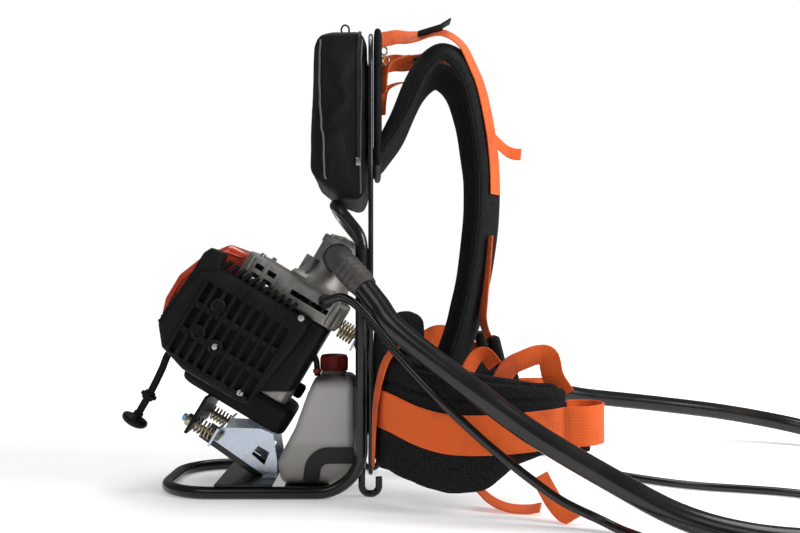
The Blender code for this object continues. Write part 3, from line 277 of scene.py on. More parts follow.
def raised(place, inputs, height, distance, strength=1.0):
    """Lets a height stand out of the surface."""
    bump = place.node("Bump", {}, {"Height": height, "Distance": distance, "Strength": strength})
    place.feed(inputs["Normal"], bump)


hose_rubber, inputs, place = new_finish("hose_rubber", {"Specular IOR Level": 0.45})
grime = speckle(place, 9, 5, 0.6)
scuffs = speckle(place, 260, 3, 0.7)
soiled = grime.above(0.6, 0.14).blend(rgba(0.0085, 0.0085, 0.0092), rgba(0.022, 0.02, 0.018))
shaded(place, inputs, soiled, 0.13 + grime * 0.14 + scuffs * 0.06)
raised(place, inputs, scuffs, 0.0002, 0.2)

shaft_start = SLEEVE_END + SLEEVE_RUN * (SLEEVE_LIP + GAP)
shaft_end = POKER_NECK - POKER_RUN * GAP
shaft_route = [shaft_start + SLEEVE_RUN * 0.012, shaft_start + SLEEVE_RUN * 0.03, *shifted(SHAFT_LINE),
               shaft_end - POKER_RUN * 0.04, shaft_end - POKER_RUN * 0.012]
shaft_points = [shaft_start, *lain(smooth(shaft_route, 240), CASING_FLOOR), shaft_end]
shaft = drawn_tube("shaft_casing", shaft_points, CASING_R, hose_rubber, resolution=9)
hung(shaft, "frame", "black_rubber", "flexible_shaft")

# Throttle cable: a thin sheathed cable from the engine's fan cover, along the shaft and across the floor,
# to the hand grip that lies behind the belt.
CABLE_R = 0.0053
CABLE_FLOOR = CABLE_R + 0.0004
GRIP_START = Vector((MIDDLE + 0.293, 0.215, 0.0164))
GRIP_RUN = Vector((-0.25, 0.968, 0)).normalized()
ENGINE_TILT = math.radians(30.9)
ENGINE = Matrix.Translation((MIDDLE - 0.0697, 0, 0.2801)) @ Matrix.Rotation(ENGINE_TILT, 4, "Y")
CABLE_LINE = [
    (-0.04, -0.112, 0.256), (-0.013, -0.129, 0.236), (0.0292, -0.17, 0.1853), (0.0744, -0.205, 0.138),
    (0.1194, -0.215, 0.0958), (0.1635, -0.225, 0.06), (0.2063, -0.237, 0.0299), (0.2473, -0.254, 0.0117),
    (0.269, -0.285, CABLE_FLOOR), (0.298, -0.345, CABLE_FLOOR), (0.356, -0.398, CABLE_FLOOR),
    (0.43, -0.432, CABLE_FLOOR), (0.49, -0.426, CABLE_FLOOR), (0.535, -0.37, CABLE_FLOOR),
    (0.568, -0.28, CABLE_FLOOR), (0.585, -0.18, CABLE_FLOOR), (0.542, -0.093, CABLE_FLOOR),
    (0.431, -0.046, CABLE_FLOOR), (0.377, -0.007, CABLE_FLOOR), (0.329, 0.05, CABLE_FLOOR),
    (0.302, 0.12, CABLE_FLOOR),
]
cable_start = ENGINE @ Vector((0.02, -0.0853, -0.022))
cable_end = GRIP_START - GRIP_RUN * GAP
cable_out = Vector((0, -1, 0))
cable_route = [cable_start + cable_out * 0.008, cable_start + cable_out * 0.018, *shifted(CABLE_LINE),
               cable_end - GRIP_RUN * 0.03, cable_end - GRIP_RUN * 0.008]
cable_points = [cable_start, *lain(smooth(cable_route, 220), CABLE_FLOOR), cable_end]
cable = drawn_tube("throttle_sheath", cable_points, CABLE_R, hose_rubber, resolution=5)
hung(cable, "frame", "black_rubber", "throttle_cable")

# Carrying frame: one 16 mm steel tube bent into a base loop and two uprights, a rod hoop behind the
# wearer's back, two rod feet and a cross tube, welded together and dipped in gloss black enamel.
enamel, inputs, place = new_finish("gloss_black_enamel", {"Coat Roughness": 0.08,
                                                          "Specular IOR Level": 0.25})
peel = speckle(place, 420, 2, 0.5)
dust = speckle(place, 26, 6, 0.65)
chips = speckle(place, 140, 4, 0.6).above(0.73, 0.015)
painted = dust.above(0.6, 0.16).blend(rgba(0.006, 0.006, 0.007), rgba(0.018, 0.0175, 0.0165))
shaded(place, inputs, chips.blend(painted, rgba(0.13, 0.12, 0.11)), 0.16 + dust * 0.2 + chips * 0.2)
place.feed(inputs["Coat Weight"], 0.35 - chips * 0.35)
raised(place, inputs, peel - chips * 0.8, 0.0002, 0.25)

TUBE_R = 0.008
HALF_WIDTH = 0.1
UPRIGHT_X = MIDDLE - 0.0176
HOOP_R = 0.003
HOOP_X = UPRIGHT_X + TUBE_R + HOOP_R + GAP
CROSS_Z = 0.196
FOOT_R = 0.0045
FOOT_REACH = 0.022
SIDES = ((-1, "near"), (1, "far"))


def bent(corners, radii, steps=14, closed=False):
    """Points along straight runs between corners, with an arc of the given radius at each bend."""
    corners = [Vector(c) for c in corners]
    count = len(corners)
    points = []
    for i, corner in enumerate(corners):
        if not closed and i in (0, count - 1):
            points.append(corner)
            continue
        back = (corners[i - 1] - corner).normalized()
        ahead = (corners[(i + 1) % count] - corner).normalized()
        half = back.angle(ahead) / 2
        reach = radii[i] / math.tan(half)
        centre = corner + (back + ahead).normalized() * (radii[i] / math.sin(half))
        first = corner + back * reach - centre
        last = corner + ahead * reach - centre
        sweep = first.angle(last)
        for k in range(steps + 1):
            t = k / steps
            arm = first * math.sin((1 - t) * sweep) + last * math.sin(t * sweep)
            points.append(centre + arm / math.sin(sweep))
    return points


def only(piece):
    """Makes a piece the one that the operators act on."""
    bpy.ops.object.select_all(action="DESELECT")
    piece.select_set(True)
    bpy.context.view_layer.objects.active = piece
    return piece


def cleaned(piece, merge=None):
    """Merges a mesh's doubles, where a distance is given, and turns its faces outwards."""
    only(piece)
    bpy.ops.object.mode_set(mode="EDIT")
    bpy.ops.mesh.select_all(action="SELECT")
    if merge:
        bpy.ops.mesh.remove_doubles(threshold=merge)
    bpy.ops.mesh.normals_make_consistent(inside=False)
    bpy.ops.object.mode_set(mode="OBJECT")
    return piece


def meshed(piece, angle=40):
    """Turns a drawn curve into a welded mesh."""
    only(piece)
    bpy.ops.object.convert(target="MESH")
    cleaned(piece, merge=0.000005)
    bpy.ops.object.shade_smooth_by_angle(angle=math.radians(angle))
    return piece


def rod(name, points, radius, finish, angle=40, **shape):
    """A bar, a wire or a short hose along points, as a welded mesh."""
    return meshed(drawn_tube(name, points, radius, finish, **shape), angle)


half_loop = [(MIDDLE - 0.052, -0.088, 0.3758), (UPRIGHT_X, -HALF_WIDTH, 0.332),
             (UPRIGHT_X, -HALF_WIDTH, TUBE_R), (MIDDLE - 0.278, -HALF_WIDTH, TUBE_R)]
half_radii = [0.026, 0.04, 0.057, 0.07]
loop = half_loop + [(x, -y, z) for x, y, z in half_loop[::-1]]
loop_line = bent(loop, half_radii + half_radii[::-1], closed=True)
main_tube = rod("main_tube", loop_line, TUBE_R, enamel, closed=True)
hung(main_tube, "frame", "gloss_black_paint", "frame_tube")

hoop_corners = [(HOOP_X, side * HALF_WIDTH, z)
                for side, z in ((-1, 0.03), (-1, 0.603), (1, 0.603), (1, 0.03))]
hoop_line = bent(hoop_corners, [0.02, 0.06, 0.06, 0.02], closed=True)
hoop = rod("hoop_rod", hoop_line, HOOP_R, enamel, closed=True)
hung(hoop, "frame", "gloss_black_paint", "back_hoop")

for side, tag in SIDES:
    foot_y = side * (HALF_WIDTH - TUBE_R - FOOT_R - GAP)
    foot_corners = [(UPRIGHT_X, foot_y, 0.11), (UPRIGHT_X, foot_y, FOOT_R),
                    (UPRIGHT_X + FOOT_REACH, foot_y, FOOT_R), (UPRIGHT_X + FOOT_REACH, foot_y, 0.026)]
    foot = rod(f"foot_rod_{tag}", bent(foot_corners, [0, 0.01, 0.01, 0]), FOOT_R, enamel)
    hung(foot, "frame", "gloss_black_paint", f"rear_foot_{tag}")


def coated(piece, finish):
    """Gives a piece one finish in place of what it has."""
    piece.data.materials.clear()
    piece.data.materials.append(finish)
    return piece


def set_in(piece, where, finish, angle=35):
    """Puts a modelled piece in its place, in its mesh, and gives it its finish."""
    piece.data.transform(where)
    only(coated(piece, finish))
    bpy.ops.object.shade_smooth_by_angle(angle=math.radians(angle))
    return piece


def turned(name, profile, finish, where, steps=64, angle=35):
    """A turned part: a profile of (radius, height) points spun about its axis and set in place."""
    mesh = bpy.data.meshes.new(name)
    edges = [(i, i + 1) for i in range(len(profile) - 1)]
    mesh.from_pydata([(r, 0, z) for r, z in profile], edges, [])
    made = only(put(name, mesh))
    bpy.ops.object.mode_set(mode="EDIT")
    bpy.ops.mesh.select_all(action="SELECT")
    bpy.ops.mesh.spin(steps=steps, angle=math.tau, center=(0, 0, 0), axis=(0, 0, 1))
    bpy.ops.object.mode_set(mode="OBJECT")
    return set_in(cleaned(made, merge=0.000002), where, finish, angle)


def aimed(start, end):
    """The place of a part that stands on its axis at start and points to end."""
    run = Vector(end) - Vector(start)
    return Matrix.Translation(start) @ run.to_track_quat("Z", "Y").to_matrix().to_4x4()


CROSS_REACH = HALF_WIDTH - TUBE_R - GAP
bead = [(0.007, 0.0072), (0.0086, 0.0056), (0.0098, 0.0026), (0.01, 0.0)]
cross_profile = [(0, 0), *bead[::-1], *[(r, 2 * CROSS_REACH - z) for r, z in bead], (0, 2 * CROSS_REACH)]
cross = turned("cross_bar", cross_profile, enamel,
               aimed((UPRIGHT_X, -CROSS_REACH, CROSS_Z), (UPRIGHT_X, CROSS_REACH, CROSS_Z)), 40)
hung(cross, "frame", "gloss_black_paint", "cross_tube")
for node in ("base_plate", "tank_tray", "cradle_leg_near", "cradle_leg_far"):
    coated(frame["nodes"][node], enamel)

# Fuel tank: blow-moulded translucent polyethylene between the uprights, on a tray across the base
# tubes. Its parting line stands out round it, and a ringed neck takes the filler cap.
# The shell is coloured darker below a set height and lighter above it.
TONE_LEVEL = 0.066
milky, inputs, place = new_finish("milky_polyethylene", {"Subsurface Weight": 0.25,
                                                         "Subsurface Scale": 0.01})
cloud = speckle(place, 18, 4, 0.6)
pebble = speckle(place, 900, 2, 0.5)
height = place.node("SeparateXYZ", {}, {0: place}, "Z")
upper_part = height.above(TONE_LEVEL, 0.004)
lower_tone = cloud.blend(rgba(0.38, 0.37, 0.345), rgba(0.44, 0.43, 0.4))
upper_tone = cloud.blend(rgba(0.46, 0.455, 0.44), rgba(0.53, 0.525, 0.51))
shaded(place, inputs, upper_part.blend(lower_tone, upper_tone), 0.36 + cloud * 0.14)
raised(place, inputs, pebble, 0.0003, 0.3)

TANK_SIDE = [(-0.027, 0.0125), (-0.1225, 0.0125), (-0.1285, 0.04), (-0.106, 0.083),
             (-0.089, 0.13), (-0.08, 0.1485), (-0.027, 0.1485)]
NECK_X = MIDDLE - 0.057
PARTING_OUT = 0.0012
FACE_OUT = Matrix.Rotation(math.pi / 2, 4, "X")
IN_PLANE = Matrix.Translation((MIDDLE, 0, 0)) @ FACE_OUT


def rounded(corners, radius, steps=9):
    flat = [(x, y, 0) for x, y in corners]
    return [(p.x, p.y) for p in bent(flat, [radius] * len(flat), steps, closed=True)]


def moulded(name, outline, half, rim, finish, where, steps=5):
    """A moulding: a flat outline thickened by half each way, with its rims rounded over, set in place."""
    curve = bpy.data.curves.new(name, "CURVE")
    curve.dimensions = "2D"
    curve.fill_mode = "BOTH"
    curve.extrude = half - rim
    curve.bevel_depth = rim
    curve.bevel_resolution = steps
    curve.offset = -rim
    line = curve.splines.new("POLY")
    line.points.add(len(outline) - 1)
    for i, p in enumerate(outline):
        line.points[i].co = (p[0], p[1], 0, 1)
    line.use_cyclic_u = True
    return set_in(meshed(put(name, curve)), where, finish, 40)


def joined(piece, *others):
    """Joins pieces into one object."""
    bpy.ops.object.select_all(action="DESELECT")
    for other in others:
        other.select_set(True)
    piece.select_set(True)
    bpy.context.view_layer.objects.active = piece
    bpy.ops.object.join()
    return piece


tank = moulded("tank_shell", rounded(TANK_SIDE, 0.0125), 0.075, 0.012, milky, IN_PLANE)
parting_side = [(x - (PARTING_OUT if x < -0.05 else 0), z + (PARTING_OUT if z > 0.1 else 0))
                for x, z in TANK_SIDE]
parting = moulded("tank_parting", rounded(parting_side, 0.0125), 0.0009, 0.0004, milky, IN_PLANE, 1)
neck_rings = [(0.0128, 0.145), (0.0155, 0.145), (0.0155, 0.152), (0.0172, 0.1526), (0.0172, 0.1546),
              (0.0155, 0.1552), (0.0155, 0.174), (0.015, 0.1745), (0.013, 0.1745), (0.0128, 0.173),
              (0.0128, 0.145)]
neck = turned("tank_neck", neck_rings, milky, Matrix.Translation((NECK_X, 0, 0)))
hung(joined(tank, parting, neck), "frame", "translucent_polyethylene", "fuel_tank")

# Filler cap: a dull red plastic cap that screws on to the tank's neck, moulded in one piece with a
# ring of grip ribs round its skirt.
CAP = Matrix.Translation((NECK_X, 0, 0.1778))
CAP_RIBS = 30
cap_red, inputs, place = new_finish("dull_red_plastic", {"Specular IOR Level": 0.4})
fade = speckle(place, 60, 4, 0.6)
shaded(place, inputs, fade.blend(rgba(0.34, 0.022, 0.012), rgba(0.24, 0.015, 0.009)), 0.34 + fade * 0.2)
raised(place, inputs, speckle(place, 700, 2), 0.0002, 0.3)


def beaded_block(name, size, bevel, segments=2):
    """A block with rounded edges, modelled at the origin."""
    bpy.ops.object.select_all(action="DESELECT")
    bpy.ops.mesh.primitive_cube_add(size=1)
    made = bpy.context.object
    made.name = name
    made.scale = size
    bpy.ops.object.transform_apply(scale=True)
    bpy.ops.object.mode_set(mode="EDIT")
    bpy.ops.mesh.select_all(action="SELECT")
    bpy.ops.mesh.bevel(offset=bevel, segments=segments, profile=0.5)
    bpy.ops.object.mode_set(mode="OBJECT")
    return made


def copied(model, where, finish):
    """A copy of a modelled piece with its own mesh, set in place."""
    return set_in(put(model.name, model.data.copy()), where, finish)


def dropped(model):
    bpy.data.objects.remove(model, do_unlink=True)


def repeated(model, places, finish):
    """Copies of a modelled piece, one at each place, instead of the model."""
    copies = [copied(model, where, finish) for where in places]
    dropped(model)
    return copies


cap_profile = [(0, 0.0006), (0.012, 0.0004), (0.0165, -0.0004), (0.018, -0.0018), (0.0184, -0.004),
               (0.0184, -0.0195), (0.0192, -0.0205), (0.0192, -0.0218), (0.016, -0.0218),
               (0.016, -0.0034), (0, -0.0034)]
cap = turned("filler_cap", cap_profile, cap_red, CAP)
rib_out = Matrix.Translation((0.0186, 0, -0.0115))
rib_places = [CAP @ Matrix.Rotation(i * math.tau / CAP_RIBS, 4, "Z") @ rib_out for i in range(CAP_RIBS)]
ribs = repeated(beaded_block("cap_rib", (0.0014, 0.0016, 0.0148), 0.0004, 1), rib_places, cap_red)
hung(joined(cap, *ribs), "filler_cap", "cap_red", "fuel_cap")

# Tank strap and fuel hose: a black rubber band across the tank's side, hooked to the base, and a
# short hose from the tank's top towards the carburettor, with a spring clip at its root.
black_rubber, inputs, place = new_finish("soft_black_rubber", {"Specular IOR Level": 0.35})
bloom = speckle(place, 70, 4, 0.6)
shaded(place, inputs, bloom.blend(rgba(0.012, 0.012, 0.012), rgba(0.03, 0.029, 0.028)), 0.48 + bloom * 0.2)
raised(place, inputs, speckle(place, 800, 2), 0.0002, 0.4)


def walled(piece, thick, offset):
    """Gives a sheet its thickness."""
    wall = only(piece).modifiers.new("wall", "SOLIDIFY")
    wall.thickness = thick
    wall.offset = offset
    bpy.ops.object.modifier_apply(modifier="wall")
    return piece


def ribbon(name, points, ups, width, thick, finish):
    """A flat strap along points. Each up points across the strap, towards its upper edge.

    Its UV map runs along it in u, in metres, and across it in v, from 0 to 1.
    """
    shares = [i / 10 for i in range(11)]
    verts, faces, marks = [], [], []
    along = 0.0
    for i, (point, up) in enumerate(zip(points, ups)):
        if i:
            along += (Vector(point) - Vector(points[i - 1])).length
        for share in shares:
            verts.append(Vector(point) + Vector(up).normalized() * width * (share - 0.5))
            marks.append((along, share))
    row = len(shares)
    for i in range(len(points) - 1):
        for k in range(row - 1):
            faces.append((i * row + k, i * row + k + 1, (i + 1) * row + k + 1, (i + 1) * row + k))
    mesh = bpy.data.meshes.new(name)
    mesh.from_pydata(verts, [], faces)
    layer = mesh.uv_layers.new(name="strap_run")
    for corner in mesh.loops:
        layer.data[corner.index].uv = marks[corner.vertex_index]
    made = walled(put(name, mesh), thick, 0)
    edge = made.modifiers.new("edge", "BEVEL")
    edge.width = thick * 0.3
    edge.segments = 2
    edge.angle_limit = math.radians(60)
    bpy.ops.object.modifier_apply(modifier="edge")
    return set_in(made, Matrix.Identity(4), finish, 50)


def run_at(points, i):
    """The way that a line runs at one of its points."""
    return points[min(i + 1, len(points) - 1)] - points[max(i - 1, 0)]


band_line = smooth(shifted([(-0.027, -0.0762, 0.0512), (-0.05, -0.0764, 0.0512),
                            (-0.068, -0.0764, 0.05), (-0.0795, -0.0764, 0.04),
                            (-0.083, -0.0764, 0.024), (-0.0835, -0.0764, 0.018)]), 40)
band_ups = [Vector((0, -1, 0)).cross(run_at(band_line, i)) for i in range(40)]
tank_band = ribbon("tank_band", band_line, band_ups, 0.021, 0.0018, black_rubber)
hung(tank_band, "frame", "black_rubber")

hose_line = smooth(shifted([(-0.0795, -0.01, 0.149), (-0.08, -0.01, 0.16), (-0.082, -0.008, 0.172),
                            (-0.09, 0.004, 0.182), (-0.098, 0.022, 0.188)]), 40)
fuel_hose = rod("fuel_hose", hose_line, 0.0042, black_rubber)
hung(fuel_hose, "frame", "black_rubber")
elbow_clip, inputs, place = new_finish("orange_clip", {"Roughness": 0.35})
place.feed(inputs["Base Color"], speckle(place, 200).blend(rgba(0.62, 0.07, 0.02), rgba(0.5, 0.05, 0.015)))
clip_profile = [(0.0043, -0.003), (0.0054, -0.003), (0.0058, -0.002), (0.0058, 0.002), (0.0054, 0.003),
                (0.0043, 0.003), (0.0043, -0.003)]
clip = turned("hose_clip", clip_profile, elbow_clip, aimed(hose_line[6], hose_line[9]), 32)
hung(clip, "frame", "red_plastic")

# Engine castings: crankcase, cylinder, rocker cover and carburettor, die-cast in grey aluminium,
# sand-blasted, with a little oil in the corners.
casting, inputs, place = new_finish("blasted_casting", {"Metallic": 0.75})
blast = speckle(place, 1300, 3, 0.6)
stain = speckle(place, 22, 5, 0.65)
oiled = stain.above(0.52, 0.2).blend(rgba(0.33, 0.32, 0.3), rgba(0.19, 0.18, 0.165))
shaded(place, inputs, oiled, 0.42 + stain * 0.18)
raised(place, inputs, blast + stain * 0.3, 0.0004, 0.35)
for node in ("cylinder", "rocker_cover", "carburettor", "flywheel_fan", "fan_cover"):
    coated(frame["nodes"][node], casting)

# Crankcase: the same aluminium casting, bolted up under the engine's covers. Its upper part is
# painted matt black, and its lower end is left bare.
PAINT_LEVEL = 0.1345
case_paint, inputs, place = new_finish("part_painted_case", {"Specular IOR Level": 0.18})
stain = speckle(place, 24, 5, 0.65)
level = place.node("SeparateXYZ", {}, {0: place}, "Z") + stain * 0.006
painted = level.above(PAINT_LEVEL, 0.0012)
bare = stain.above(0.5, 0.2).blend(rgba(0.36, 0.35, 0.33), rgba(0.24, 0.23, 0.21))
shaded(place, inputs, painted.blend(bare, rgba(0.0085, 0.0085, 0.009)), 0.4 + stain * 0.18)
place.feed(inputs["Metallic"], (1.0 - painted) * 0.75)
raised(place, inputs, speckle(place, 1100, 3, 0.6), 0.0004, 0.35)
coated(frame["nodes"]["crankcase"], case_paint)

# Ground steel: crankshaft, clutch, gears and bearings inside the engine and the gearbox, turned and
# ground bright, and the muffler's pressed shell.
ground_steel, inputs, place = new_finish("ground_steel", {"Metallic": 1.0})
lines = speckle(place.node("Mapping", {}, {"Vector": place, "Scale": (40, 900, 40)}), 4, 3)
heat = speckle(place, 30, 3)
shaded(place, inputs, heat.blend(rgba(0.4, 0.39, 0.38), rgba(0.3, 0.28, 0.25)), 0.24 + lines * 0.18)
raised(place, inputs, lines, 0.0001, 0.3)
for node in ("muffler", "crankshaft", "clutch_shoes", "clutch_drum", "output_gear", "pinion_bearing",
             "output_bearing", "poker_rotor"):
    coated(frame["nodes"][node], ground_steel)

# Black mouldings: muffler cover, recoil cover, air cleaner and small caps in glass-filled nylon with
# a fine spark-eroded grain, greyed by dust. The muffler cover is ribbed, louvred and screwed on.
black_nylon, inputs, place = new_finish("grained_black_nylon", {"Specular IOR Level": 0.14})
grain = speckle(place, 1500, 2, 0.6)
haze = speckle(place, 34, 5, 0.6)
dusted = haze.above(0.55, 0.2).blend(rgba(0.0045, 0.0045, 0.0052), rgba(0.0095, 0.0094, 0.0095))
shaded(place, inputs, dusted, 0.42 + haze * 0.2)
raised(place, inputs, grain, 0.0003, 0.45)
for node in ("muffler_cover", "recoil_cover", "air_cleaner", "oil_cap", "spark_plug_cap", "engine_foot",
             "throttle_lever"):
    coated(frame["nodes"][node], black_nylon)

COVER_FACE_Y = -0.122
SHOULDER_Y = -0.1
LOUVRE_Y = -0.106


def engine_at(x, y, z):
    """A place given in the engine's own tilted axes."""
    return ENGINE @ Matrix.Translation((x, y, z))


def engine_seen(px, py, y):
    """What the photograph shows at a pixel, at a depth y, in the engine's own axes."""
    return ENGINE.inverted() @ seen(px, py, y)


def tilted(degrees, axis):
    return Matrix.Rotation(math.radians(degrees), 4, axis)


fin_places = []
for i in range(10):
    x = -0.11875 + i * 0.0135
    length = 1.0 if x > -0.105 else 0.82
    fin_places.append(engine_at(x, COVER_FACE_Y - 0.0004, -0.121) @ Matrix.Diagonal((1, 1, length, 1)))
fins = repeated(beaded_block("cover_fin", (0.0034, 0.005, 0.118), 0.0012), fin_places, black_nylon)
notch_places = [engine_at(-0.1445, -0.092, -0.149 + i * 0.0064) for i in range(7)]
notches = repeated(beaded_block("cover_notch", (0.007, 0.04, 0.0032), 0.0012), notch_places, black_nylon)
hung(joined(*fins, *notches), "frame", "black_plastic")

ring_profile = [(0, 0.0012), (0.0058, 0.0012), (0.0062, 0.0036), (0.0072, 0.0044), (0.0086, 0.0044),
                (0.0094, 0.0036), (0.0098, 0.0), (0, 0.0)]
for i, (px, py) in enumerate(((218, 306), (198, 332), (215, 347))):
    spot = engine_seen(px, py, COVER_FACE_Y)
    ring = turned(f"cover_boss_{i}", ring_profile, black_nylon,
                  engine_at(spot.x, COVER_FACE_Y, spot.z) @ FACE_OUT, 40)
    hung(ring, "frame", "black_plastic")

baffle_side = [(-0.128, -0.076), (-0.108, -0.0585), (0.013, -0.0585), (0.014, -0.076), (0.0, -0.175),
               (-0.012, -0.18), (-0.087, -0.181), (-0.122, -0.171), (-0.138, -0.15), (-0.138, -0.112)]
baffle = moulded("cover_baffle", baffle_side, 0.0008, 0.0003, black_nylon,
                 engine_at(0, COVER_FACE_Y + 0.0092, 0) @ FACE_OUT, 1)
hung(baffle, "frame", "black_plastic")
shoulder_seen = [(160, 322), (168, 309), (195, 271), (206, 253), (214, 248), (226, 253), (222, 272),
                 (214, 282), (190, 300), (170, 330)]
shoulder_spots = [engine_seen(px, py, SHOULDER_Y) for px, py in shoulder_seen]
shoulder_side = rounded([(spot.x, spot.z) for spot in shoulder_spots], 0.004, 4)
shoulder = moulded("cover_shoulder", shoulder_side, 0.019, 0.0035, black_nylon,
                   engine_at(0, SHOULDER_Y + 0.0015, 0) @ FACE_OUT, 3)
hung(shoulder, "frame", "black_plastic")
louvre_places = []
for i in range(11):
    spot = engine_seen(226 + i * 6.5, 266 + i * 4.2, LOUVRE_Y)
    louvre_places.append(engine_at(spot.x, LOUVRE_Y, spot.z) @ tilted(24, "Y"))
louvre_model = beaded_block("cover_louvre", (0.0046, 0.02, 0.02), 0.0014)
hung(joined(*repeated(louvre_model, louvre_places, black_nylon)), "frame", "black_plastic")

# Screws: zinc-plated flange screws with a hexagon socket, headed from steel wire. One is modelled and
# copied to each cover and flange that the screws hold.
bright_zinc, inputs, place = new_finish("bright_zinc", {"Metallic": 1.0})
tone = speckle(place, 120, 3)
shaded(place, inputs, tone.blend(rgba(0.52, 0.52, 0.52), rgba(0.4, 0.41, 0.43)), 0.22 + tone * 0.16)

bpy.ops.object.select_all(action="DESELECT")
bpy.ops.mesh.primitive_cylinder_add(vertices=24, radius=0.004, depth=0.0012, location=(0, 0, 0.0006))
screw_model = bpy.context.object
screw_model.name = "flange_screw"
bpy.ops.object.transform_apply(location=True)
bpy.ops.object.mode_set(mode="EDIT")
bpy.ops.mesh.select_all(action="DESELECT")
bpy.ops.object.mode_set(mode="OBJECT")
for face in screw_model.data.polygons:
    face.select = face.normal.z > 0.9
bpy.ops.object.mode_set(mode="EDIT")
bpy.ops.mesh.inset(thickness=0.0011, depth=0)
bpy.ops.mesh.extrude_region_move(TRANSFORM_OT_translate={"value": (0, 0, 0.0026)})
bpy.ops.mesh.inset(thickness=0.0004, depth=0.0002)
bpy.ops.mesh.inset(thickness=0.0008, depth=0)
bpy.ops.mesh.extrude_region_move(TRANSFORM_OT_translate={"value": (0, 0, -0.0016)})
bpy.ops.object.mode_set(mode="OBJECT")


def screwed(name, where, scale=1.0):
    screw = copied(screw_model, where @ Matrix.Scale(scale, 4), bright_zinc)
    screw.name = name
    return hung(screw, "frame", "bright_steel")


cover_screws = ((304, 320, COVER_FACE_Y), (240, 393, COVER_FACE_Y), (215, 347, COVER_FACE_Y - 0.001))
for i, (px, py, depth) in enumerate(cover_screws):
    spot = engine_seen(px, py, depth)
    inside = min(max(spot.x, -0.12), 0.006)
    screwed(f"cover_screw_{i}", engine_at(inside, depth, spot.z) @ FACE_OUT)

# Top cover: the engine's shroud, injection-moulded in glossy orange-red plastic, a thin shell that
# sits over the cylinder head with its mouth against the fan cover.
shroud_red, inputs, place = new_finish("glossy_shroud_red", {"Coat Roughness": 0.05, "Coat Weight": 0.4})
fade = speckle(place, 16, 4, 0.6)
wiped = speckle(place, 50, 4).above(0.62, 0.1)
shaded(place, inputs, fade.blend(rgba(0.56, 0.048, 0.013), rgba(0.48, 0.04, 0.011)), 0.2 + wiped * 0.18)
raised(place, inputs, speckle(place, 500, 2), 0.0001, 0.2)

SHROUD_SIDE = [(-0.086, -0.02), (-0.086, -0.169), (-0.127, -0.169), (-0.156, -0.158), (-0.166, -0.128),
               (-0.166, -0.092), (-0.152, -0.055), (-0.128, -0.022)]
SHROUD_Y = (-0.06, 0.09)
ON_SIDE = Matrix.Translation((0, sum(SHROUD_Y) / 2, 0)) @ FACE_OUT
BEAD_SIDE = [(-0.104, -0.03), (-0.126, -0.034), (-0.147, -0.062), (-0.158, -0.096), (-0.158, -0.126),
             (-0.15, -0.152), (-0.126, -0.161), (-0.104, -0.161)]
shroud_half = (SHROUD_Y[1] - SHROUD_Y[0]) / 2
shroud = moulded("shroud", rounded(SHROUD_SIDE, 0.014), shroud_half, 0.012, shroud_red, ON_SIDE, 7)
only(shroud)
bpy.ops.object.mode_set(mode="EDIT")
bpy.ops.mesh.select_all(action="SELECT")
bpy.ops.mesh.bisect(plane_co=(-0.1, 0, 0), plane_no=(1, 0, 0), clear_outer=True)
bpy.ops.object.mode_set(mode="OBJECT")
set_in(walled(shroud, 0.003, -1), ENGINE, shroud_red)
bead_line = [ENGINE @ Vector((x, SHROUD_Y[0] - 0.0005, z)) for x, z in BEAD_SIDE]
crease = rod("shroud_bead", bead_line, 0.0012, shroud_red)
hung(joined(shroud, crease), "frame", "red_plastic", "top_cover")

# Fan cover: a die-cast aluminium ring on the crankcase, held by four screws, with air slots on its
# side and ribs cast round its rim.
FAN_RIBS_X = (-0.0885, -0.0667, -0.045, -0.031, 0.0345, 0.044)
fan_rib_places = [engine_at(x, -0.0852, -0.0335) for x in FAN_RIBS_X]
fan_ribs = repeated(beaded_block("fan_rib", (0.003, 0.003, 0.03), 0.001), fan_rib_places, casting)
hung(joined(*fan_ribs), "frame", "cast_aluminium")
for i, (x, y) in enumerate(((-0.082, -0.066), (0.034, -0.066), (0.034, 0.066), (-0.082, 0.066))):
    screwed(f"fan_screw_{i}", engine_at(x, y, -0.015), scale=1.15)

# Angle gearbox: a cast aluminium housing on the fan cover, with webs round its foot and a side boss
# for the output shaft, closed by a ribbed lid on a screwed flange.
OUTPUT_LEAN = math.radians(4)
GEAR_CENTRE = ENGINE @ Vector((0, 0, 0.034))
OUTPUT_RUN = (ENGINE.to_3x3() @ Vector((math.sin(OUTPUT_LEAN), -math.cos(OUTPUT_LEAN), 0))).normalized()
OUTPUT = aimed(GEAR_CENTRE, GEAR_CENTRE + OUTPUT_RUN)
BOSS_FACE = 0.0402
LID_LOW = 0.0523
LID = engine_at(0, 0, LID_LOW)
housing_profile = [(0.0238, 0.052), (0.032, 0.052), (0.0322, 0.0515), (0.0322, 0.0465), (0.0316, 0.0455),
                   (0.0302, 0.044), (0.03, 0.018), (0.0318, 0.012), (0.0345, 0.006), (0.0378, -0.001),
                   (0.04, -0.006), (0.0448, -0.0096), (0.046, -0.0106), (0.046, -0.0147), (0.03, -0.0147)]
housing = turned("gear_housing", housing_profile, casting, ENGINE, 72)
boss_profile = [(0.0125, BOSS_FACE), (0.0168, BOSS_FACE), (0.0172, 0.0398), (0.0172, 0.03),
                (0.0186, 0.0262), (0.023, 0.0225)]
boss = turned("output_boss", boss_profile, casting, OUTPUT, 56)
web_places = [ENGINE @ tilted(angle, "Z") @ Matrix.Translation((0, 0.032, 0.004))
              for angle in (40, 90, 140, 0, 320)]
webs = repeated(beaded_block("housing_web", (0.004, 0.016, 0.03), 0.0012), web_places, casting)
hung(joined(housing, boss, *webs), "frame", "cast_aluminium", "gearbox_housing")

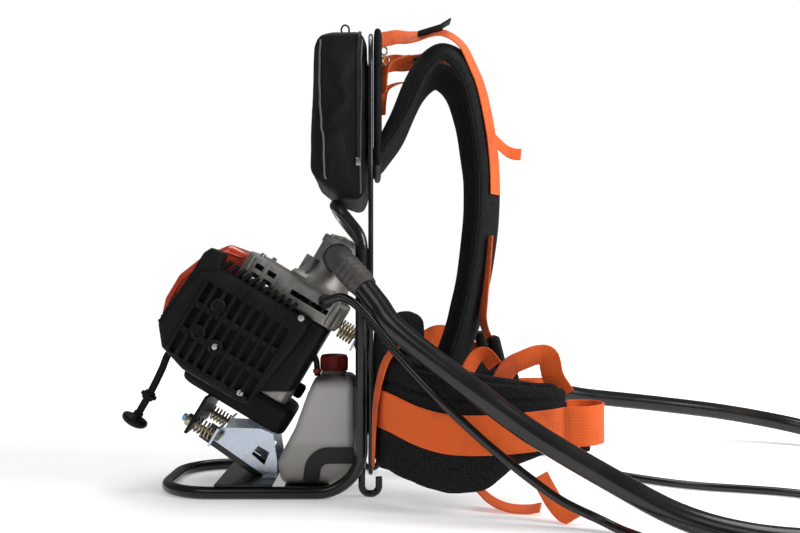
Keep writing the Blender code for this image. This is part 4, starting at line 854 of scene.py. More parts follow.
lid_profile = [(0, 0.011), (0.006, 0.0108), (0.012, 0.0098), (0.018, 0.008), (0.0225, 0.006),
               (0.027, 0.0042), (0.0312, 0.004), (0.032, 0.0032), (0.032, 0), (0, 0)]
lid = turned("gear_lid", lid_profile, casting, LID, 72)
lid_rib_places = [LID @ tilted(30 * i, "Z") @ Matrix.Translation((0, 0.015, 0.0082)) @ tilted(-17, "X")
                  for i in range(12)]
lid_ribs = repeated(beaded_block("lid_rib", (0.0022, 0.02, 0.004), 0.0008), lid_rib_places, casting)
hung(joined(lid, *lid_ribs), "frame", "cast_aluminium", "gearbox_cap")


def about_engine(radius, degrees, height):
    """A place on a circle about the engine's axis."""
    angle = math.radians(degrees)
    return engine_at(radius * math.cos(angle), radius * math.sin(angle), height)


for i in range(4):
    screwed(f"lid_screw_{i}", about_engine(0.0288, 45 + 90 * i, LID_LOW + 0.004), scale=0.62)
for i in range(3):
    screwed(f"housing_screw_{i}", about_engine(0.0418, -60 - 55 * i, -0.0092), scale=0.75)
dropped(screw_model)

# Output boot: dark grey rubber from the gearbox's boss round the near upright to the casing, with a
# clamp ring at its root and moulded rings at its mouth.
boot_grey, inputs, place = new_finish("dark_grey_boot", {"Specular IOR Level": 0.4})
bloom = speckle(place, 46, 4, 0.6)
shaded(place, inputs, bloom.blend(rgba(0.05, 0.046, 0.041), rgba(0.075, 0.069, 0.062)), 0.36 + bloom * 0.18)
raised(place, inputs, speckle(place, 900, 2), 0.0002, 0.35)
boot_start = GEAR_CENTRE + OUTPUT_RUN * (BOSS_FACE + GAP)
boot_route = [boot_start + OUTPUT_RUN * 0.008, GEAR_CENTRE + OUTPUT_RUN * 0.085,
              Vector((MIDDLE - 0.038, -0.125, 0.296)), SLEEVE_END]
boot_line = [boot_start, *smooth(boot_route, 60), SLEEVE_END + SLEEVE_RUN * SLEEVE_LIP]
boot_radii = [1.1 if i < 6 else 1.0 for i in range(len(boot_line))]
for i in (44, 45, 48, 49, 52, 53, 56, 57):
    boot_radii[i] = 1.05
boot_radii[-3:] = [1.0, 0.98, 0.92]
boot = rod("output_boot", boot_line, 0.017, boot_grey, 60, radii=boot_radii, resolution=10)
hung(boot, "frame", "dark_grey_plastic", "output_sleeve")
clamp_profile = [(0.0188, 0.003), (0.0198, 0.0028), (0.0201, 0.002), (0.0201, -0.002),
                 (0.0198, -0.0028), (0.0188, -0.003), (0.0188, 0.003)]
clamp_ring = turned("boot_clamp", clamp_profile, black_nylon,
                    aimed(boot_start + OUTPUT_RUN * 0.005, boot_start + OUTPUT_RUN), 56)
hung(clamp_ring, "frame", "black_plastic")

# Spring mounts: yellow-zinc compression springs between the engine and the frame, two under the fan
# cover on the cross tube's plate and two between the engine's foot and the brackets. Each lower one is
# coiled round a bolt, and a blue cap sits on the near bolt's head.
yellow_zinc, inputs, place = new_finish("yellow_zinc", {"Metallic": 1.0})
tint = speckle(place, 90, 3, 0.6)
shaded(place, inputs, tint.blend(rgba(0.5, 0.42, 0.24), rgba(0.42, 0.38, 0.3)), 0.26 + tint * 0.2)

WIRE_R = 0.0013
COIL_R = 0.0095
UPPER_SEATS = (0.05, 0.0776, 0.052, -0.0454)
LOWER_SEATS = (-0.0475, -0.0165, 0.06, -0.248)


def coiled(name, low, high, y, z, turns=5.5, per_turn=20):
    count = int(turns * per_turn)
    rise = (high - low - 2 * WIRE_R - 2 * GAP) / count
    line = []
    for i in range(count + 1):
        angle = math.tau * i / per_turn
        line.append(ENGINE @ Vector((low + WIRE_R + GAP + rise * i, y + COIL_R * math.cos(angle),
                                     z + COIL_R * math.sin(angle))))
    return rod(name, line, WIRE_R, yellow_zinc, 80, resolution=3)


bolt_profile = [(0, -0.0082), (0.0026, -0.0082), (0.003, -0.0086), (0.003, -0.0518), (0.0085, -0.0518),
                (0.0085, -0.0576), (0.0073, -0.0588), (0.004, -0.0588), (0.0038, -0.0558), (0, -0.0558)]
NUT_MIDDLE = -0.011
for side, tag in SIDES:
    for level, (low, high, y, z) in (("upper", UPPER_SEATS), ("lower", LOWER_SEATS)):
        coil = coiled(f"{level}_coil_{tag}", low, high, side * y, z)
        hung(coil, "frame", "yellow_zinc", f"{level}_spring_{tag}")
    stand = engine_at(0, side * LOWER_SEATS[2], LOWER_SEATS[3]) @ tilted(90, "Y")
    shank = turned(f"mount_bolt_{tag}", bolt_profile, yellow_zinc, stand, 32)
    bpy.ops.mesh.primitive_cylinder_add(vertices=6, radius=0.006, depth=0.0042)
    nut = set_in(bpy.context.object, stand @ Matrix.Translation((0, 0, NUT_MIDDLE)), yellow_zinc, 20)
    hung(joined(shank, nut), "frame", "yellow_zinc", f"lower_bolt_{tag}")

cap_blue, inputs, place = new_finish("pale_blue_cap", {"Specular IOR Level": 0.4})
chalk = speckle(place, 220, 3)
shaded(place, inputs, chalk.blend(rgba(0.22, 0.46, 0.78), rgba(0.3, 0.55, 0.85)), 0.35 + chalk * 0.2)
blue_profile = [(0, 0.005), (0.004, 0.0048), (0.005, 0.004), (0.0052, 0.0), (0, 0.0)]
blue_cap = turned("blue_cap", blue_profile, cap_blue,
                  engine_at(-0.06, -0.06, -0.248) @ tilted(-90, "Y"), 32)
hung(blue_cap, "frame", "bright_steel")

# Brackets and spring plate: galvanised sheet steel with the coating's crystal pattern, bent, punched with a
# window and bolted to the frame's base plate.
galvanised, inputs, place = new_finish("galvanised_sheet", {"Metallic": 1.0})
crystal = place.node("TexVoronoi", {}, {"Vector": place, "Scale": 95.0}, "Color")
grain = crystal.node("SeparateColor", {}, {"Color": crystal}, "Red")
shaded(place, inputs, grain.blend(rgba(0.44, 0.49, 0.58), rgba(0.6, 0.64, 0.7)), 0.22 + grain * 0.16)
for node in ("upper_mount_plate", "mount_bracket_near", "mount_bracket_far"):
    edge = coated(frame["nodes"][node], galvanised).modifiers.new("edge", "BEVEL")
    edge.width = 0.0005
    edge.segments = 2
    edge.limit_method = "ANGLE"

# Recoil starter: a black nylon guide tube from the recoil cover, a clamped stop ring, and the
# mushroom knob on the end of the braided rope that runs inside the tube.
GUIDE_Y = -0.038
GUIDE_Z = -0.1853
guide_seat = ENGINE @ Vector((-0.0963, GUIDE_Y, GUIDE_Z))
guide_route = [ENGINE @ Vector((-0.1053, GUIDE_Y, GUIDE_Z))]
guide_route += [Vector((MIDDLE + x, GUIDE_Y, z)) for x, z in
                [(-0.262, 0.188), (-0.2765, 0.181), (-0.286, 0.1595), (-0.299, 0.133), (-0.3159, 0.103)]]
guide_line = [guide_seat, *smooth(guide_route, 48)]
guide = rod("guide_tube", guide_line, 0.005, black_nylon, 60)
hung(guide, "frame", "black_plastic", "starter_guide")

PULL_AXIS = Vector((-0.49588, 0, -0.868391))
PULL = aimed(guide_line[-1], guide_line[-1] + PULL_AXIS)
collar_profile = [(0.0053, -0.02), (0.0071, -0.02), (0.0075, -0.0204), (0.0075, -0.0231),
                  (0.008, -0.0235), (0.0106, -0.0235), (0.011, -0.0239), (0.011, -0.0271),
                  (0.0106, -0.0275), (0.008, -0.0275), (0.0075, -0.0279), (0.0075, -0.0306),
                  (0.0071, -0.031), (0.0053, -0.031), (0.0053, -0.02)]
collar = turned("stop_ring", collar_profile, black_nylon, PULL, 48)
hung(collar, "frame", "black_plastic", "starter_collar")
knob_profile = [(0, 0.02), (0.006, 0.0199), (0.01, 0.0195), (0.0135, 0.0182), (0.0165, 0.016),
                (0.0178, 0.0136), (0.018, 0.011), (0.0173, 0.0092), (0.016, 0.008), (0.012, 0.007),
                (0.0085, 0.0064), (0.007, 0.0055), (0.0065, 0.004), (0.0065, 0.0006), (0.0062, 0.0003),
                (0, 0.0003)]
knob = turned("pull_knob", knob_profile, black_nylon, PULL, 56, 60)
hung(knob, "starter", "black_plastic", "starter_handle")

braid, inputs, place = new_finish("braided_rope", {"Roughness": 0.85})
plait = place.node("TexWave", {"bands_direction": "DIAGONAL"},
                   {"Vector": place, "Scale": 300.0, "Distortion": 2.0})
place.feed(inputs["Base Color"], plait.blend(rgba(0.01, 0.01, 0.01), rgba(0.04, 0.04, 0.042)))
raised(place, inputs, plait, 0.0004, 0.6)
ROPE_REACH = 0.0912
ROPE_PLAY = 0.003
rope_line = []
for point in guide_line:
    back = point - guide_line[-1]
    off = back - PULL_AXIS * back.dot(PULL_AXIS)
    if back.length < ROPE_REACH:
        rope_line.append(point - off.normalized() * min(off.length, ROPE_PLAY))
rope = rod("rope_tail", rope_line, 0.0016, braid, 60, resolution=3)
hung(rope, "starter", "black_cloth")
coated(frame["nodes"]["starter_rope"], braid)

# Poker: the vibrating head, a turned steel tube with a rounded nose, worn bright in use. The casing
# plugs into its swaged neck, under a grooved ferrule.
poker_steel, inputs, place = new_finish("worn_poker_steel", {"Metallic": 1.0})
wear = speckle(place, 30, 5, 0.65)
scratch = speckle(place, 260, 3, 0.7)
shaded(place, inputs, wear.blend(rgba(0.34, 0.33, 0.32), rgba(0.24, 0.235, 0.23)),
       0.24 + wear * 0.16 + scratch * 0.08)
raised(place, inputs, scratch, 0.0002, 0.15)
only(coated(frame["nodes"]["poker_tube"], poker_steel))
bpy.ops.object.shade_smooth_by_angle(angle=math.radians(30))
ferrule_profile = [(0.0156, 0.0205), (0.0164, 0.0203), (0.0166, 0.0198), (0.0166, 0.015), (0.0161, 0.0146),
                   (0.0161, 0.0118), (0.0166, 0.0114), (0.0166, 0.0066), (0.0164, 0.0061), (0.0152, 0.0059)]
ferrule = turned("poker_ferrule", ferrule_profile, poker_steel, aimed(POKER_NECK, POKER_TIP))
hung(ferrule, "frame", "bright_steel")
line_length(shaft_points)

# Throttle grip: a moulded black hand grip lying on the floor, ribbed for the fingers, with a lug and a
# pin that the lever turns on. A rubber boot keeps the cable from kinking where it leaves the engine.
GRIP_LENGTH = 0.1
GRIP = aimed(GRIP_START, GRIP_START + GRIP_RUN)
grip_profile = [(0, GRIP_LENGTH), (0.01, GRIP_LENGTH), (0.013, GRIP_LENGTH - 0.0012),
                (0.0152, GRIP_LENGTH - 0.004), (0.016, GRIP_LENGTH - 0.0075), (0.0157, GRIP_LENGTH - 0.015)]
for i in range(7):
    high = 0.078 - i * 0.0062
    grip_profile += [(0.0147, high), (0.0147, high - 0.003),
                     (0.0141, high - 0.0036), (0.0141, high - 0.0056)]
grip_profile += [(0.0147, 0.034), (0.0156, 0.027), (0.016, 0.022), (0.016, 0.005), (0.0152, 0.002),
                 (0.012, 0), (0, 0)]
handle = turned("hand_grip", grip_profile, black_nylon, GRIP, 56)
GRIP_AXES = Matrix((GRIP_RUN, Vector((0, 0, 1)).cross(GRIP_RUN), (0, 0, 1))).transposed().to_4x4()
GRIP_AXES = Matrix.Translation(GRIP_START) @ GRIP_AXES


def fitted_block(name, size, bevel, where, finish, segments=2, angle=35):
    """A block with rounded edges, set in place."""
    return set_in(beaded_block(name, size, bevel, segments), where, finish, angle)


lug = fitted_block("lever_lug", (0.014, 0.025, 0.0077), 0.0012,
                   GRIP_AXES @ Matrix.Translation((0.01, 0.0205, -0.00415)), black_nylon)
pin_profile = [(0, 0.008), (0.0024, 0.008), (0.003, 0.0074), (0.003, -0.004), (0, -0.004)]
pin = turned("lever_pin", pin_profile, black_nylon, GRIP_AXES @ Matrix.Translation((0.01, 0.026, 0)), 28)
hung(joined(handle, lug, pin), "frame", "black_plastic", "throttle_grip")
boot_profile = [(0.0055, 0.0003), (0.0092, 0.0003), (0.0096, 0.0008), (0.0096, 0.003), (0.0088, 0.0036),
                (0.0066, 0.0165), (0.0062, 0.017), (0.0055, 0.017)]
cable_boot = turned("cable_boot", boot_profile, black_rubber,
                    aimed(cable_start, cable_start + cable_out), 40)
hung(cable_boot, "frame", "black_rubber")
line_length(cable_points)

# Tool bag: a box bag sewn from coated black pack cloth, tied to the hoop and sitting on the bent top
# of the frame. Grey piping runs down its side panels, and a zip closes it, with a wire ring on the
# slider.
pack_cloth, inputs, place = new_finish("pack_cloth", {"Sheen Weight": 0.01, "Specular IOR Level": 0.1})
threads = [place.node("TexWave", {"bands_direction": axis}, {"Vector": place, "Scale": 190.0})
           for axis in "XYZ"]
cloth_weave = (threads[0] + threads[1] + threads[2]) * 0.333
rubbed = speckle(place, 14, 5, 0.6)
worn = rubbed.above(0.56, 0.2).blend(rgba(0.0062, 0.0062, 0.0075), rgba(0.0125, 0.0125, 0.0155))
shaded(place, inputs, worn, 0.52 + cloth_weave * 0.22)
raised(place, inputs, cloth_weave * 0.35 + speckle(place, 22, 4, 0.55), 0.0022, 0.5)

FILL_PRESSURE = 4.0
FILL_STEPS = 20


def stuffed(piece, voxel, most):
    """Fills a sewn form: it is blown up as cloth, with every point's move capped, and then subdivided."""
    only(piece)
    piece.data.remesh_voxel_size = voxel
    bpy.ops.object.voxel_remesh()
    before = [vertex.co.copy() for vertex in piece.data.vertices]
    filling = piece.modifiers.new("filling", "CLOTH")
    filling.settings.use_pressure = True
    filling.settings.uniform_pressure_force = FILL_PRESSURE
    filling.settings.effector_weights.gravity = 0
    for step in range(1, FILL_STEPS + 1):
        bpy.context.scene.frame_set(step)
    bpy.ops.object.modifier_apply(modifier="filling")
    bpy.context.scene.frame_set(1)
    for vertex, start in zip(piece.data.vertices, before):
        move = vertex.co - start
        if move.length > most:
            vertex.co = start + move.normalized() * most
    finer = piece.modifiers.new("finer", "SUBSURF")
    finer.levels = 1
    finer.render_levels = 1
    bpy.ops.object.modifier_apply(modifier="finer")
    bpy.ops.object.shade_smooth()
    return piece


def pressed(piece, depth_at):
    """Moves every point of a soft piece in by a depth."""
    moves = [vertex.normal * -depth_at(vertex.co) for vertex in piece.data.vertices]
    for vertex, move in zip(piece.data.vertices, moves):
        vertex.co += move
    return piece


def laid_on(piece, points, lift):
    """Points moved on to a piece's surface and lifted off it."""
    made = []
    for point in points:
        _, spot, normal, _ = piece.closest_point_on_mesh(Vector(point))
        made.append(spot + normal * lift)
    return made


BAG_SIDE = [(-0.0848, 0.407), (-0.01, 0.3634), (-0.0096, 0.605), (-0.0775, 0.602), (-0.083, 0.5)]
BAG_X = -0.0473
BAG_Z = 0.478
slack_side = [(BAG_X + (x - BAG_X) * 0.9, BAG_Z + (z - BAG_Z) * 0.967) for x, z in BAG_SIDE]
bag = stuffed(moulded("bag", rounded(slack_side, 0.012), 0.1012, 0.01, pack_cloth, IN_PLANE), 0.005, 0.004)
pressed(bag, lambda p: 0.0014 * noise.noise(Vector((p.x * 42, p.y * 26, p.z * 13))) + 0.0006)
hung(bag, "frame", "black_cloth", "tool_bag")

piping, inputs, place = new_finish("grey_piping", {"Roughness": 0.6})
place.feed(inputs["Base Color"],
           speckle(place, 300).blend(rgba(0.075, 0.075, 0.077), rgba(0.11, 0.11, 0.112)))
SEAM_Y = -0.105
BACK_SEAM = [(316.6, 37), (314.2, 50), (315, 80), (319, 113), (322, 150), (324, 181)]
FRONT_SEAM = [(369, 37), (368.2, 64), (367.1, 97), (365.5, 129), (364.2, 161), (364.5, 195)]


def seen_line(pixels, y, side=-1):
    """What the photograph shows at pixels, at a depth y, or its mirror image on the far side."""
    points = [seen(px, py, y) for px, py in pixels]
    return [Vector((point.x, point.y * -side, point.z)) for point in points]


for name, seam in (("back", BACK_SEAM), ("front", FRONT_SEAM)):
    for side, tag in SIDES:
        seam_line = laid_on(bag, smooth(seen_line(seam, SEAM_Y, side), 60), 0.0004)
        cord = rod(f"{name}_piping_{tag}", seam_line, 0.0013, piping, 80, resolution=4)
        hung(cord, "frame", "black_cloth")

zip_tape, inputs, place = new_finish("zip_tape", {"Specular IOR Level": 0.3})
teeth = place.node("TexWave", {"bands_direction": "Z"}, {"Vector": place, "Scale": 130.0})
shaded(place, inputs, teeth.blend(rgba(0.006, 0.006, 0.006), rgba(0.022, 0.022, 0.024)), 0.45 + teeth * 0.3)
raised(place, inputs, teeth, 0.0012, 0.8)
for side, tag in SIDES:
    zip_route = [(MIDDLE - 0.0195, side * 0.104, 0.429), (MIDDLE - 0.0195, side * 0.106, 0.5),
                 (MIDDLE - 0.0195, side * 0.104, 0.578), (MIDDLE - 0.0205, side * 0.094, 0.592),
                 (MIDDLE - 0.021, side * 0.07, 0.596), (MIDDLE - 0.021, side * 0.0005, 0.598)]
    zip_line = laid_on(bag, smooth(zip_route, 90), 0.0003)
    zip_cord = rod(f"zip_{tag}", zip_line, 0.0024, zip_tape, 80, resolution=4)
    hung(zip_cord, "frame", "black_cloth")
    stop_place = Matrix.Translation(zip_line[0] + Vector((0, side * 0.0015, 0)))
    stop = fitted_block(f"zip_stop_{tag}", (0.0062, 0.003, 0.0105), 0.001, stop_place, ground_steel)
    hung(stop, "frame", "bright_steel")


def oval(middle, half_width, half_height, count):
    """Points round an upright ring."""
    angles = [math.tau * i / count for i in range(count)]
    return [middle + Vector((half_width * math.cos(a), 0, half_height * math.sin(a))) for a in angles]


ring_foot = laid_on(bag, [(MIDDLE - 0.0262, -0.052, 0.64)], 0.003)[0]
slider = fitted_block("zip_slider", (0.02, 0.012, 0.009), 0.0028, Matrix.Translation(ring_foot),
                      black_nylon, 3, 40)
ring_line = oval(ring_foot + Vector((-0.002, 0, 0.008)), 0.0052, 0.0066, 40)
pull_ring = rod("zip_ring", ring_line, 0.0012, black_nylon, 80, closed=True, resolution=4)
hung(joined(slider, pull_ring), "frame", "black_plastic")

# Harness panel: a thin padded panel of the same cloth, tied on behind the hoop. The shoulder straps
# and their webbing are sewn to it.
panel = fitted_block("harness_panel", (0.0085, 0.19, 0.178), 0.003,
                     Matrix.Translation((MIDDLE + 0.0028, 0, 0.513)), pack_cloth, 3, 40)
stuffed(panel, 0.004, 0.0012)
hung(panel, "frame", "black_cloth")

# Hip belt: foam wings in black spacer mesh with two sewn channels along the top, and a lumbar pad and
# roll between them that lie against the hoop.
spacer_mesh, inputs, place = new_finish("spacer_mesh", {"Sheen Weight": 0.01, "Specular IOR Level": 0.09})
cell = place.node("TexVoronoi", {}, {"Vector": place, "Scale": 420.0}, "Distance")
lint = speckle(place, 11, 5, 0.6)
knitted = cell.above(0.42, 0.2).blend(rgba(0.006, 0.006, 0.0066), rgba(0.015, 0.015, 0.0165))
shaded(place, inputs, knitted, 0.78 + lint * 0.15)
raised(place, inputs, cell * 0.25 + lint, 0.002, 0.5)

WING_ROUTE = [(0.01, -0.1096), (0.017, -0.129), (0.038, -0.152), (0.076, -0.17), (0.124, -0.181),
              (0.176, -0.182), (0.226, -0.172)]
WING_CHANNELS = (0.74, 0.92)
WING_STEPS = 48
wing_path = smooth([(x, y, 0) for x, y in WING_ROUTE], WING_STEPS)


def wing_edges(x):
    """The heights of a wing's lower and upper edge."""
    t = min(max((x - 0.02) / 0.206, 0), 1)
    low = 0.04 - 0.022 * math.sin(math.pi * min(t * 1.4, 1)) + 0.038 * max(0, t - 0.55) / 0.45
    return low, 0.194 - 0.038 * t ** 0.8


def lofted(name, rings, finish):
    """A closed skin over rings of points."""
    size = len(rings[0])
    faces = [tuple(range(size)), tuple(range((len(rings) - 1) * size, len(rings) * size))]
    for i in range(len(rings) - 1):
        for k in range(size):
            after = (k + 1) % size
            faces.append((i * size + k, i * size + after, (i + 1) * size + after, (i + 1) * size + k))
    mesh = bpy.data.meshes.new(name)
    mesh.from_pydata([point for ring in rings for point in ring], [], faces)
    return set_in(cleaned(put(name, mesh)), Matrix.Identity(4), finish, 60)


def squared(value, power):
    """A sine or cosine brought nearer to a square's corner, with its sign kept."""
    return abs(value) ** power * (1 if value > 0 else -1)


def wing_ring(i, side):
    here = wing_path[i]
    run = run_at(wing_path, i)
    out = Vector((run.y, -run.x, 0)).normalized()
    low, high = wing_edges(here.x)
    end = min(i, WING_STEPS - 1 - i)
    taper = (0.45, 0.75, 0.92)[end] if end < 3 else 1.0
    ring = []
    for k in range(28):
        angle = math.tau * k / 28
        thick = 0.0122 * taper * squared(math.cos(angle), 0.45)
        rise = (high - low - 0.005) / 2 * taper ** 0.3 * squared(math.sin(angle), 0.75)
        spot = here + out * thick
        ring.append(Vector((MIDDLE + spot.x, -side * spot.y, (low + high) / 2 + rise)))
    return ring


def channel_depth(p):
    low, high = wing_edges(p.x - MIDDLE)
    share = (p.z - low) / (high - low)
    crease = 0.0009 * noise.noise(Vector((p.x * 60, p.y * 60, p.z * 20)))
    return crease + 0.004 * sum(math.exp(-((share - line) / 0.016) ** 2) for line in WING_CHANNELS)


wings = {}
for side, tag in SIDES:
    wing = lofted(f"belt_wing_{tag}", [wing_ring(i, side) for i in range(WING_STEPS)], spacer_mesh)
    wings[tag] = pressed(stuffed(wing, 0.005, 0.003), channel_depth)
    hung(wing, "frame", "black_cloth", f"hip_wing_{tag}")

pad = fitted_block("lumbar_pad", (0.017, 0.21, 0.176), 0.006,
                   Matrix.Translation((MIDDLE + 0.0085, 0, 0.131)), spacer_mesh, 4, 40)
pressed(stuffed(pad, 0.005, 0.003), lambda p: 0.003 * math.exp(-((abs(p.y) - 0.05) / 0.005) ** 2))
hung(pad, "frame", "black_cloth", "back_pad")
roll = fitted_block("lumbar_roll", (0.042, 0.144, 0.058), 0.016,
                    Matrix.Translation((MIDDLE + 0.043, 0, 0.207)), spacer_mesh, 4, 40)
stuffed(roll, 0.005, 0.0035)
hung(roll, "frame", "black_cloth")

# Shoulder straps: padded straps in the same mesh from the bag's front over the shoulders and back to the
# lumbar pad, bound along both edges.
STRAP_ROUTE = [(-0.006, 0.43), (0.028, 0.486), (0.058, 0.552), (0.09, 0.577), (0.122, 0.546), (0.141, 0.47),
               (0.147, 0.39), (0.14, 0.31), (0.124, 0.23), (0.098, 0.155), (0.07, 0.09), (0.044, 0.05),
               (0.0195, 0.0385)]
STRAP_LAST = 120
STRAP_WIDTH = 0.052
STRAP_ASIDE = 0.066
STRAP_TILT = math.radians(35)
strap_path = smooth([(x, 0, z) for x, z in STRAP_ROUTE], STRAP_LAST + 1)


def strap_point(side, i, share, off):
    """A point of a strap: a share of its width from its inner edge, and off its middle outwards."""
    here = strap_path[i]
    run = run_at(strap_path, i)
    inward = Vector((run.z, 0, -run.x)).normalized()
    tilt = -STRAP_TILT * math.sqrt(max(0, math.sin(math.pi * i / STRAP_LAST)))
    across = STRAP_WIDTH * (share - 0.5)
    by = -off * math.cos(tilt) - across * math.sin(tilt)
    aside = STRAP_ASIDE - off * math.sin(tilt) + across * math.cos(tilt)
    return here + inward * by + Vector((MIDDLE, side * aside, 0))


def strap_ring(side, i):
    end = min(i, STRAP_LAST - i)
    taper = (0.35, 0.7, 0.9)[end] if end < 3 else 1.0
    ring = []
    for k in range(32):
        angle = math.tau * k / 32
        share = 0.5 + 0.5 * taper ** 0.3 * squared(math.cos(angle), 0.7)
        off = 0.0088 * taper * squared(math.sin(angle), 0.6)
        ring.append(strap_point(side, i, share, off))
    return ring


for side, tag in SIDES:
    strap = lofted(f"strap_{tag}", [strap_ring(side, i) for i in range(STRAP_LAST + 1)], spacer_mesh)
    pressed(strap, lambda p: 0.0012 * noise.noise(Vector((p.x * 36, p.y * 36, p.z * 22))) + 0.0006)
    hung(strap, "frame", "black_cloth", f"shoulder_strap_{tag}")
    for edge, share in (("inner", 0.015), ("outer", 0.985)):
        bound = [strap_point(side, i, share, 0) for i in range(3, STRAP_LAST - 2)]
        welt = rod(f"strap_{edge}_welt_{tag}", bound, 0.0021, pack_cloth, 80, resolution=3)
        hung(welt, "frame", "black_cloth")

# Webbing: woven orange polyester, 16 to 47 mm wide, sewn to the belt, the panel and the straps, with
# black nylon buckles. Ends that hang loose are cut square and lie as they fell.
WEB_THICK = 0.0018
PICK_WAVE = 2600.0
RIB_WAVE = 88.0
orange_web, inputs, place = new_finish("orange_webbing", {"Sheen Weight": 0.1, "Specular IOR Level": 0.25})
run = place.node("UVMap", {"uv_map": "strap_run"}, {})
along = run.node("SeparateXYZ", {}, {"Vector": run}, "X")
across = run.node("SeparateXYZ", {}, {"Vector": run}, "Y")
pick = along.maths("SINE", along * PICK_WAVE) * 0.5 + 0.5
rib = across.maths("SINE", across * RIB_WAVE) * 0.5 + 0.5
soil = speckle(place, 17, 5, 0.6)
clean = (pick * 0.35 + rib * 0.25).blend(rgba(0.86, 0.135, 0.02), rgba(0.68, 0.1, 0.014))
shaded(place, inputs, soil.above(0.62, 0.18).blend(clean, rgba(0.44, 0.062, 0.014)), 0.62 + rib * 0.15)
raised(place, inputs, pick * 0.5 + rib * 0.5, 0.0005, 0.6)


def webbing(name, points, ups, width):
    return hung(ribbon(name, points, ups, width, WEB_THICK, orange_web), "frame", "black_cloth")


def upright_ups(points, lean=0.0):
    """Directions across a strap that stands on edge, square to its run, leaning towards +Y."""
    made = []
    for i in range(len(points)):
        flat = run_at(points, i).cross(Vector((0, 1, 0))).normalized()
        made.append(flat * (1 if flat.z >= 0 else -1) + Vector((0, lean, 0)))
    return made


BELT_LINE = [(0.0095, 0.1215), (0.024, 0.116), (0.05, 0.104), (0.085, 0.096), (0.13, 0.096),
             (0.18, 0.1), (0.222, 0.104)]
BELT_BOW = [(0.012, -0.001, 0.0005), (0.03, 0.001, 0.001), (0.046, 0.01, 0.002), (0.053, 0.024, 0.003),
            (0.046, 0.039, 0.004), (0.028, 0.044, 0.004), (0.012, 0.04, 0.004)]
belt_path = smooth([(x, 0, z) for x, z in BELT_LINE], 56)
for side, tag in SIDES:
    band = []
    for spot in belt_path:
        nearest = min(wing_path, key=lambda p: abs(p.x - spot.x))
        band.append(Vector((MIDDLE + spot.x, -side * (nearest.y - 0.016), spot.z)))
    band = laid_on(wings[tag], band, 0.0018)
    for _ in range(4):
        band = [band[0], *[(a + b * 2 + c) / 4 for a, b, c in zip(band, band[1:], band[2:])], band[-1]]
    end = band[-1]
    bow = [end + Vector((x, -side * y, z)) for x, y, z in BELT_BOW]
    band += smooth([end, *bow], 36)[1:]
    webbing(f"belt_band_{tag}", band, [Vector((0, 0, 1))] * len(band), 0.047)
    clasp_place = Matrix.Translation(end + Vector((0.036, -side * 0.047, -0.026)))
    clasp = fitted_block(f"belt_clasp_{tag}", (0.012, 0.016, 0.02), 0.0035, clasp_place, black_nylon, 3, 40)
    hung(clasp, "frame", "black_plastic")

ARCH_SEEN = [(499, 390), (503, 377), (511, 366), (523, 360), (537, 355), (548, 357)]
arch_foot = shifted([(0.215, -0.154, 0.16), (0.229, -0.153, 0.138)])
arch = smooth(seen_line(ARCH_SEEN, -0.152) + arch_foot, 48)
webbing("belt_arch", arch, upright_ups(arch, -0.5), 0.027)
far_arch = smooth(shifted([(0.06, 0.15, 0.17), (0.075, 0.15, 0.183), (0.094, 0.15, 0.196),
                           (0.116, 0.15, 0.193), (0.132, 0.15, 0.178)]), 36)
webbing("far_belt_arch", far_arch, upright_ups(far_arch), 0.034)
edge_strap = smooth(shifted([(0.025, -0.156, 0.197), (0.013, -0.149, 0.18),
                             (0.005, -0.143, 0.155), (0.0, -0.139, 0.125),
                             (-0.002, -0.136, 0.09), (-0.003, -0.133, 0.048)]), 48)
edge_ups = [Vector((0.42 - 0.34 * i / 47, -0.9, 0.1)) for i in range(48)]
webbing("belt_edge_strap", edge_strap, edge_ups, 0.024)
floor_tail = smooth(shifted([(0.12, -0.15, 0.03), (0.138, -0.158, 0.013), (0.158, -0.166, 0.005),
                             (0.18, -0.172, 0.0042), (0.196, -0.176, 0.0075)]), 32)
floor_ups = [Vector((0.25, 0.9, 0.1 + 0.1 * i / 31)) for i in range(32)]
webbing("belt_floor_tail", floor_tail, floor_ups, 0.026)
hanging_tail = smooth(shifted([(0.19, -0.2, 0.05), (0.197, -0.206, 0.036), (0.206, -0.214, 0.02),
                               (0.216, -0.223, 0.009), (0.224, -0.23, 0.0065)]), 32)
webbing("belt_hanging_tail", hanging_tail, [Vector((0.75, 0.25, 0.35))] * 32, 0.022)

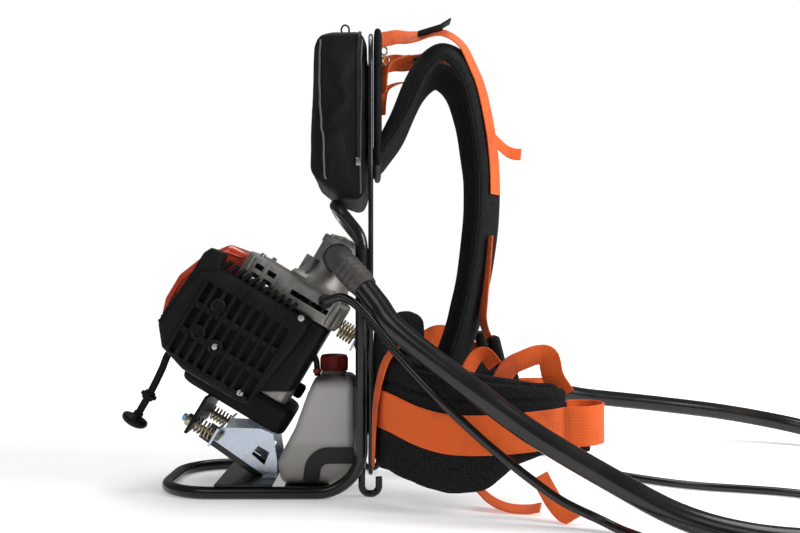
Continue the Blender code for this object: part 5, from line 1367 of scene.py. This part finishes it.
LIFTER_STEPS = 90
LIFTER_SEEN = [(379, 40), (388, 38.5), (397, 37), (408, 37.5), (420, 36), (432, 33), (443, 33), (454, 38),
               (464, 48)]
HOOKS_SEEN = ((384, 51), (385.5, 61))
KEEPER_SEEN = [(382, 94), (383, 78), (386, 66), (395, 60), (405, 57)]
DROP_SEEN = [(489, 236), (487, 265), (484, 300), (483, 320), (488, 336), (496, 345)]
TIE_SEEN = [(495, 366), (486, 355), (477, 356), (470, 366), (464, 378)]
TAB_SEEN = [(506, 150.5), (514, 154), (521, 154.5)]
HOOK_Y = -0.07
DROP_Y = -0.076
on_strap = range(39, 61, 3)
for side, tag in SIDES:
    lifter = seen_line(LIFTER_SEEN, -STRAP_ASIDE, side)
    lifter += [strap_point(side, i, 0.5, 0.0106) for i in on_strap]
    ways = []
    for k in range(LIFTER_STEPS):
        share = min(1.0, max(0.0, (k - 8) / 34))
        spot = min(60, 36 + max(0, k - 42) // 2)
        flat = strap_point(side, spot, 1.0, 0) - strap_point(side, spot, 0.0, 0)
        ways.append(flat.normalized() * share + Vector((0, side * 0.45, -0.85)) * (1 - share))
    webbing(f"lifter_webbing_{tag}", smooth(lifter, LIFTER_STEPS), ways, 0.025)
    lock = beaded_block(f"ladder_lock_{tag}", (0.034, 0.03, 0.0052), 0.0018, 3)
    tongue = fitted_block("lock_tongue", (0.02, 0.024, 0.0022), 0.0008,
                          Matrix.Translation((0.02, 0, 0.0036)) @ tilted(-14, "Y"), black_nylon)
    lock_spot = seen_line([(430, 32)], -STRAP_ASIDE, side)[0]
    set_in(joined(lock, tongue), Matrix.Translation(lock_spot) @ tilted(-17, "Y"), black_nylon)
    hung(lock, "frame", "black_plastic")
    for i, middle in enumerate(seen_line(HOOKS_SEEN, HOOK_Y, side)):
        hook = rod(f"bag_hook_{i}_{tag}", oval(middle, 0.0042, 0.0052, 32), 0.0013, yellow_zinc, 80,
                   closed=True, resolution=3)
        hung(hook, "frame", "yellow_zinc")
    keeper = smooth(seen_line(KEEPER_SEEN, HOOK_Y, side), 30)
    webbing(f"bag_keeper_{tag}", keeper, [Vector((0.75, side * 0.6, 0.2))] * 30, 0.016)
    drop = smooth(seen_line(DROP_SEEN, DROP_Y, side), 48)
    webbing(f"strap_drop_{tag}", drop, [Vector((0.3, side * 0.9, 0))] * 48, 0.022)
    slide_spot = seen_line([(496.5, 353)], DROP_Y, side)[0]
    slide = fitted_block(f"strap_slide_{tag}", (0.015, 0.034, 0.046), 0.0055,
                         Matrix.Translation(slide_spot) @ tilted(-14, "Y"), black_nylon, 4, 40)
    hung(slide, "frame", "black_plastic")
    tie = smooth(seen_line(TIE_SEEN, -0.09, side), 36)
    webbing(f"strap_tie_{tag}", tie, upright_ups(tie, side * 0.4), 0.02)
loose_tab = smooth([strap_point(-1, 51, 0.22, 0.007), *seen_line(TAB_SEEN, -0.05)], 20)
webbing("loose_tab", loose_tab, [Vector((0.12, 0.35, 0.9))] * 20, 0.017)
